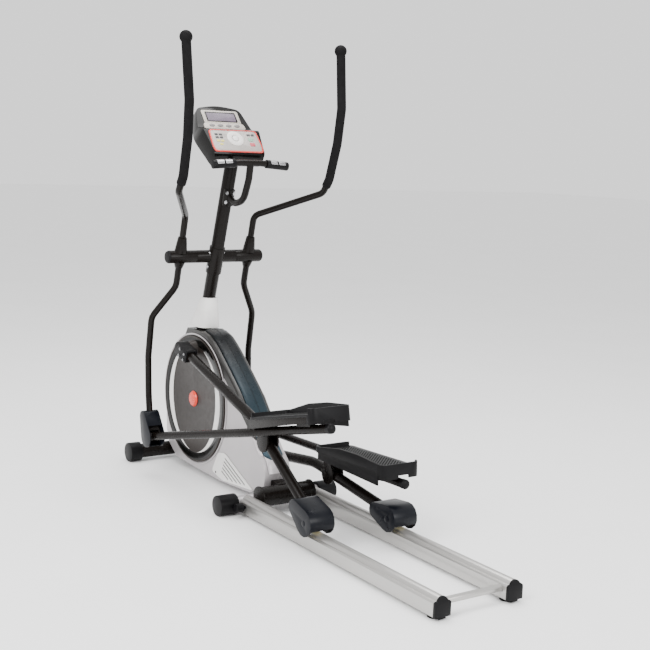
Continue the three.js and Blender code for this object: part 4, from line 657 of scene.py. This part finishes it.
for name, side in SIDES:
    bm = bmesh.new()
    outline = [tuple(v) for v in rounded(VENT_CORNERS, 16)]
    prism(bm, outline, side * (HOUSING_FACE_Y - 0.5), side * (HOUSING_FACE_Y + 5), side_view)
    bevel_sharp(bm, 2.0, 3)
    panel = finish_piece(f"vent_{name}_panel", bm, white, "frame")
    bm = bmesh.new()
    for row, length in enumerate(VENT_SLOTS):
        start = Vector(VENT_FIRST_SLOT) + Vector(VENT_DROP) * (VENT_FIRST_DROP + VENT_PITCH * row)
        run, drop = Vector(VENT_RUN), Vector(VENT_DROP)
        slot_outline = []
        for centre, turn in ((start + run * length, -1), (start, 1)):
            for k in range(9):
                angle = math.pi * k / 8 - math.pi / 2
                along = turn * VENT_SLOT_RADIUS * math.cos(angle)
                across = turn * VENT_SLOT_RADIUS * math.sin(angle)
                slot_outline.append(tuple(centre - run * along - drop * across))
        low, high = side * (HOUSING_FACE_Y - 8), side * (HOUSING_FACE_Y + 12)
        prism(bm, slot_outline, low, high, side_view)
    bmesh.ops.recalc_face_normals(bm, faces=bm.faces)
    tool = bpy.data.meshes.new("vent_cutter")
    bm.to_mesh(tool)
    bm.free()
    cutter = bpy.data.objects.new("vent_cutter", tool)
    bpy.context.scene.collection.objects.link(cutter)
    cut_through(panel, cutter)
    # Painted shade: a dark sheet inside the vent panel shows at the bottom of the slots, in place
    # of the shade inside the housing.
    bm = bmesh.new()
    inset = [tuple(v * 0.97 + Vector((3.3, 2.4))) for v in (Vector(p) for p in outline)]
    prism(bm, inset, side * (HOUSING_FACE_Y + 1), side * (HOUSING_FACE_Y + 2.3), side_view)
    finish_piece(f"vent_{name}_mesh", bm, rubber, "frame")
    bm = bmesh.new()
    for x, z in ((34, 50), (-20, 524)):
        place = at(x, side * (HOUSING_FACE_Y + (4.5 if z < 100 else -0.2)), z)
        head = [(0, 0), (4.6, 0), (4.6, 0.8), (3.6, 1.7), (1.6, 1.9), (1.4, 0.9), (0, 0.9)]
        lathe(bm, head, place, (0, side, 0), 20)
    finish_piece(f"housing_{name}_screws", bm, gloss_black, "frame")


def smooth_line(points, steps=8):
    """Close stations of a smooth curve through the points."""
    points = [Vector(p) for p in points]
    points = [2 * points[0] - points[1], *points, 2 * points[-1] - points[-2]]
    made = []
    for a, b, c, d in zip(points, points[1:], points[2:], points[3:]):
        for k in range(steps):
            t = k / steps
            made.append(
                0.5 * (2 * b + (c - a) * t + (2 * a - 5 * b + 4 * c - d) * t * t
                       + (3 * b - a - 3 * c + d) * t**3)
            )
    return made + [points[-2]]


def loft(bm, rows):
    """Joins closed rows of points, one after another, and closes both ends."""
    made = [[bm.verts.new(p) for p in row] for row in rows]
    for low, high in zip(made, made[1:]):
        for k in range(len(low)):
            n = (k + 1) % len(low)
            bm.faces.new((low[k], low[n], high[n], high[k]))
    bm.faces.new(made[0][::-1])
    bm.faces.new(made[-1])


spine_stations = smooth_line(SPINE_LINE)
SPINE_PROFILE = [
    (-1, -4), (-1, 6), (-0.96, 8.2), (-0.88, 9.6), (-0.6, 10.8), (-0.02, 11.4),
    (0.02, 11.4), (0.6, 10.8), (0.88, 9.6), (0.96, 8.2), (1, 6), (1, -4),
]
TONGUE = 34


def spine_row(stations, i, profile, half_width):
    """The profile's places across the spine and out from it, at one station."""
    low = stations[max(0, i - 1)]
    high = stations[min(len(stations) - 1, i + 1)]
    way = (high - low).normalized()
    out = Vector((-way.y, way.x))
    row = []
    for across, rise in profile:
        place = stations[i] + out * rise
        row.append(at(place.x, across * half_width, place.y))
    return row


bm = bmesh.new()
rows = []
for i, station in enumerate(spine_stations):
    left_over = (spine_stations[-1] - station).length
    share = min(1.0, left_over / TONGUE)
    half_width = max(4, SPINE_HALF_WIDTH * math.sqrt(1 - (1 - share) ** 2))
    rows.append(spine_row(spine_stations, i, SPINE_PROFILE, half_width))
loft(bm, rows)
finish_piece("housing_spine_shell", bm, spine_paint, "frame", ("housing_spine",))
TAIL_LINE = [(326, 214), (344, 194), (378, 165), (396, 128)]
tail_stations = smooth_line(TAIL_LINE)
bm = bmesh.new()
tail = [(across, rise - 2.5) for across, rise in SPINE_PROFILE]
tail_half_width = SPINE_HALF_WIDTH - 0.5
loft(bm, [spine_row(tail_stations, i, tail, tail_half_width) for i in range(len(tail_stations))])
finish_piece("housing_tail_shell", bm, silver, "frame", ("housing_spine",))
bm = bmesh.new()
seam = [(-0.7, 9), (-0.7, 11.9), (0.7, 11.9), (0.7, 9)]
seam_end = len(spine_stations) - 7
loft(bm, [spine_row(spine_stations, i, seam, 1) for i in range(seam_end)])
finish_piece("spine_seam", bm, rubber, "frame")
SHOULDER = [
    (SPINE_HALF_WIDTH + 0.6, -6), (SPINE_HALF_WIDTH + 0.6, 2.4), (SPINE_HALF_WIDTH + 2, 3.2),
    (46, 2.8), (51, 0.6), (54.3, -3.6), (55.2, -9), (55.2, -11), (50, -11),
]
for name, side in SIDES:
    bm = bmesh.new()
    profile = [(side * across, rise) for across, rise in SHOULDER]
    shoulder_end = len(spine_stations) - 4
    loft(bm, [spine_row(spine_stations, i, profile, 1) for i in range(shoulder_end)])
    finish_piece(f"housing_{name}_shoulder", bm, housing_paint, "frame")

# ---- Post bolts ------------------------------------------------------------------------------

slope = math.atan(POST_SLOPE)
rearward = Vector((math.cos(slope), 0, -math.sin(slope)))
bm = bmesh.new()
for height, surface_radius in ((832, 30.4), (886, 30.4), (1096, 32.4), (1130, 32.4)):
    middle = at(POST_FOOT[0] + POST_SLOPE * (height - POST_FOOT[1]), 0, height)
    if height > 1000:
        for across in (-14, 14):
            off = math.sqrt(surface_radius**2 - across**2) - 0.3
            bolt(bm, middle + rearward * off * MM + Vector((0, across * MM, 0)), rearward, 5.2, 4)
    else:
        for side in (-1, 1):
            sideways = Vector((0, side * (surface_radius - 0.4) * MM, 0))
            bolt(bm, middle + sideways, (0, side, 0), 5.5, 5)
finish_piece("post_bolts", bm, steel, "frame")

# ---- Console ---------------------------------------------------------------------------------


def on_console(across, up, out):
    tilt = math.radians(CONSOLE_TILT)
    x = CONSOLE_FOOT[0] - up * math.cos(tilt) + out * math.sin(tilt)
    return at(x, across, CONSOLE_FOOT[1] + up * math.sin(tilt) + out * math.cos(tilt))


def plate(bm, corners, corner_radius, low, high, edge=0.6):
    fresh = bmesh.new()
    outline = [tuple(v) for v in rounded(corners, corner_radius)]
    prism(fresh, outline, low, high, on_console)
    bevel_sharp(fresh, edge, 2, 50)
    shade_sheet = bpy.data.meshes.new("plate")
    fresh.to_mesh(shade_sheet)
    fresh.free()
    bm.from_mesh(shade_sheet)
    bpy.data.meshes.remove(shade_sheet)


def oblong(across, up, half_across, half_up):
    return [
        (across - half_across, up - half_up), (across + half_across, up - half_up),
        (across + half_across, up + half_up), (across - half_across, up + half_up),
    ]


KEYPAD_OUT = POD_HEIGHT + 2.3

bm = bmesh.new()
plate(bm, oblong(0, 219, 79, 33), 9, -0.5, 3.0, 1.0)
finish_piece("screen_bezel", bm, bezel_grey, "frame")
bm = bmesh.new()
plate(bm, oblong(0, 220, 66, 24), 5, 2.6, 3.5, 0.3)
finish_piece("screen_mask", bm, gloss_black, "frame")
bm = bmesh.new()
plate(bm, oblong(0, 219, 60, 19), 3, 3.2, 3.8, 0.2)
finish_piece("screen_glass", bm, screen, "frame")

RIM_SECTION = [
    (-2, KEYPAD_OUT), (0.5, KEYPAD_OUT + 1.2), (4.5, KEYPAD_OUT + 1.0), (6, POD_HEIGHT - 0.5),
]
outline = [(98, 26), (102, 50), (96, 122), (-96, 122), (-102, 50), (-98, 26)]
loop = [Vector(v) for v in rounded(outline, 14, 6)]
centre = Vector((0, 74))
bm = bmesh.new()
rows = []
for grow, out in RIM_SECTION:
    ring = []
    for v in loop:
        away = v - centre
        moved = v + Vector((math.copysign(grow, away.x), math.copysign(grow * 0.8, away.y)))
        ring.append(bm.verts.new(on_console(moved.x, moved.y, out)))
    rows.append(ring)
rows.append([bm.verts.new(on_console(v.x, v.y, POD_HEIGHT - 0.5)) for v in loop])
for i in range(len(rows)):
    low, high = rows[i - 1], rows[i]
    for k in range(len(loop)):
        n = (k + 1) % len(loop)
        bm.faces.new((low[k], low[n], high[n], high[k]))
finish_piece("keypad_red_rim", bm, red_trim, "frame")

out_axis = (on_console(0, 0, 1) - on_console(0, 0, 0)).normalized()
bm = bmesh.new()
dial = [(14.5, -1.5), (14.5, 1.2), (17, 2.4), (30, 2.4), (34, 0.8), (34, -1.5)]
lathe(bm, dial, on_console(0, BUTTON_UP, KEYPAD_OUT), out_axis, 64, ring_shaped=True)
finish_piece("keypad_dial", bm, off_white, "frame")

KEY_GROUPS = (
    ("keys_dark", dark_mark, [(-76, 102), (-58, 102), (-76, 88), (-58, 88), (62, 104), (80, 104)]),
    ("keys_yellow", yellow_key, [(-76, 72), (-58, 72), (-67, 56)]),
    ("key_green", green_key, [(66, 82)]),
    ("key_red", red_key, [(66, 58)]),
)
for name, surface, places in KEY_GROUPS:
    bm = bmesh.new()
    for across, up in places:
        half = (11, 8) if len(places) == 1 else (7, 4.5)
        plate(bm, oblong(across, up, *half), 4, KEYPAD_OUT - 0.4, KEYPAD_OUT + 1.2, 0.5)
    finish_piece(name, bm, surface, "frame")

bm = bmesh.new()
plate(bm, [(-90, 160), (90, 160), (86, 188), (-86, 188)], 10, -0.5, 4.5, 1.2)
finish_piece("button_strip", bm, bezel_grey, "frame")
bm = bmesh.new()
for across in (-54, -18, 18, 54):
    oval = [
        (across + 12 * math.cos(a), 176 + 6.5 * math.sin(a))
        for a in (2 * math.pi * k / 28 for k in range(28))
    ]
    prism(bm, oval, 4.0, 6.0, on_console)
bevel_sharp(bm, 0.8, 2, 50)
finish_piece("strip_buttons", bm, key_grey, "frame")

# ---- Pulse grips -----------------------------------------------------------------------------

PLATE_STARTS = (-30, 4)
PLATE_SECTION = [(0, 15.6), (1, 16.5), (27, 16.5), (28, 15.6)]

for name, side in SIDES:
    low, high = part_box(f"pulse_grip_{name}")
    middle = (Vector(low) + Vector(high)) / 2
    axis = Vector((0, side, -PULSE_BAR_DROP / 160)).normalized()
    outward = Vector((0.5, 0, 0.87))
    sideways = axis.cross(outward).normalized()
    bm = bmesh.new()
    for start in PLATE_STARTS:
        rows = []
        for forward, radius in PLATE_SECTION:
            along = start + forward
            arc = []
            for k in range(-9, 10):
                angle = math.radians(6 * k)
                reach = outward * math.cos(angle) + sideways * math.sin(angle)
                arc.append((reach, radius if abs(k) < 9 else 15.6))
            row = [middle + axis * along * MM + reach * size * MM for reach, size in arc]
            row += [middle + axis * along * MM + reach * 15.3 * MM for reach, size in arc[::-1]]
            rows.append(row)
        loft(bm, rows)
    finish_piece(f"pulse_grip_{name}_plates", bm, steel, "frame")

# ---- Pedal treads and arm ends ---------------------------------------------------------------

BUMP_PITCH = 13
BUMP_RADIUS = 4.6
BUMP_CROWN = 2.2
BUMP_HEIGHT = 1.5

for name, side in SIDES:
    pedal = LINKAGES[name][5]

    def on_tread(u, v, y, pedal=pedal, side=side):
        x, z = pedal(u, v)
        return at(x, side * y, z)

    bm = bmesh.new()
    rows = int((PEDAL_LENGTH - 50) / (BUMP_PITCH / 2))
    for row in range(rows):
        u = PEDAL_START + 25 + row * BUMP_PITCH / 2
        y = PEDAL_INNER_Y + 20 + (BUMP_PITCH / 2 if row % 2 else 0)
        while y < PEDAL_OUTER_Y - 18:
            base = PEDAL_BASE + TREAD_TOP
            foot, crown = [], []
            for du, dy in ((1, 0), (0, 1), (-1, 0), (0, -1)):
                low = on_tread(u + du * BUMP_RADIUS, base - 0.3, y + dy * BUMP_RADIUS)
                high = on_tread(u + du * BUMP_CROWN, base + BUMP_HEIGHT, y + dy * BUMP_CROWN)
                foot.append(bm.verts.new(low))
                crown.append(bm.verts.new(high))
            bm.faces.new(foot[::-1])
            bm.faces.new(crown)
            for k in range(4):
                n = (k + 1) % 4
                bm.faces.new((foot[k], foot[n], crown[n], crown[k]))
            y += BUMP_PITCH
    finish_piece(f"pedal_{name}_tread_bumps", bm, rubber, f"tread_{name}")

    bm = bmesh.new()
    end = on_tread(1140, 0, 142)
    before = on_tread(1100, 0, 143)
    cap = [(PEDAL_ARM_RADIUS - 3, -14), (PEDAL_ARM_RADIUS + 0.9, -13), (PEDAL_ARM_RADIUS + 0.9, 4),
           (13.5, 8), (8, 10.6), (0, 11.5)]
    lathe(bm, cap, end, end - before, 36)
    finish_piece(f"pedal_arm_{name}_end_cap", bm, black_plastic, f"tread_{name}")

    bm = bmesh.new()
    arm = LINKAGES[name][2]
    for u, v in ((14, 14), (14, -14), (52, 12), (52, -12)):
        x, z = arm(u + 8, v)
        bolt(bm, at(x, side * 137.2, z), (0, side, 0), 4.2, 3.6)
    finish_piece(f"crank_bracket_{name}_bolts", bm, steel, f"arm_{name}")

    bm = bmesh.new()
    x, z = LINKAGES[name][1]
    button = [(11, -0.6), (11, 0.8), (9.5, 1.8), (0, 2.1)]
    lathe(bm, button, at(x, side * 183, z), (0, side, 0), 36)
    lathe(bm, button, at(x, side * 89, z), (0, -side, 0), 36)
    finish_piece(f"roller_{name}_covers", bm, blue_black, f"arm_{name}")

# ---- Stage, light and camera -----------------------------------------------------------------

floor_material = Surface("pale_floor", (0.93, 0.93, 0.93), 0.6).vary(0.01, 2)
bm = bmesh.new()
bmesh.ops.create_grid(bm, x_segments=1, y_segments=1, size=30)
floor_mesh = bpy.data.meshes.new("floor")
bm.to_mesh(floor_mesh)
bm.free()
floor_mesh.materials.append(floor_material.material)
floor = bpy.data.objects.new("floor", floor_mesh)
bpy.context.scene.collection.objects.link(floor)

world = bpy.data.worlds.new("studio")
world.use_nodes = True
world.node_tree.nodes["Background"].inputs["Color"].default_value = (1, 1, 1, 1)
world.node_tree.nodes["Background"].inputs["Strength"].default_value = 1.35
bpy.context.scene.world = world


def softbox(name, place, aim, size, power):
    light = bpy.data.lights.new(name, "AREA")
    light.shape = "RECTANGLE"
    light.size, light.size_y = size
    light.energy = power
    lamp = bpy.data.objects.new(name, light)
    lamp.location = place
    way = Vector(aim) - Vector(place)
    lamp.rotation_euler = way.to_track_quat("-Z", "Y").to_euler()
    bpy.context.scene.collection.objects.link(lamp)


softbox("key_light", (1.5, -4.0, 3.6), (0, 0, 0.6), (2.6, 2.6), 260)
softbox("fill_light", (4.2, 0.8, 2.4), (0, 0, 0.7), (2.2, 2.2), 120)
softbox("top_light", (-0.5, 0.2, 4.2), (0, 0, 0.5), (3.0, 2.0), 140)

CAMERA_AZIMUTH = 56.0
CAMERA_ELEVATION = 8.4
CAMERA_ROLL = 2.2
CAMERA_DISTANCE = 4.0021
CAMERA_LENS = 65.55
CAMERA_TARGET = at(664.7, -0.1, 713.6)

azimuth, elevation = math.radians(CAMERA_AZIMUTH), math.radians(CAMERA_ELEVATION)
back = Vector((
    math.sin(azimuth) * math.cos(elevation),
    -math.cos(azimuth) * math.cos(elevation),
    math.sin(elevation),
))
right = Vector((math.cos(azimuth), math.sin(azimuth), 0))
up = back.cross(right)
roll = math.radians(CAMERA_ROLL)
right_turned = right * math.cos(roll) + up * math.sin(roll)
up_turned = up * math.cos(roll) - right * math.sin(roll)
turn = Matrix((right_turned, up_turned, back)).transposed().to_4x4()
camera_data = bpy.data.cameras.new("camera")
camera_data.lens = CAMERA_LENS
camera_data.sensor_width = 36
camera = bpy.data.objects.new("camera", camera_data)
camera.matrix_world = Matrix.Translation(CAMERA_TARGET + back * CAMERA_DISTANCE) @ turn
bpy.context.scene.collection.objects.link(camera)
bpy.context.scene.camera = camera
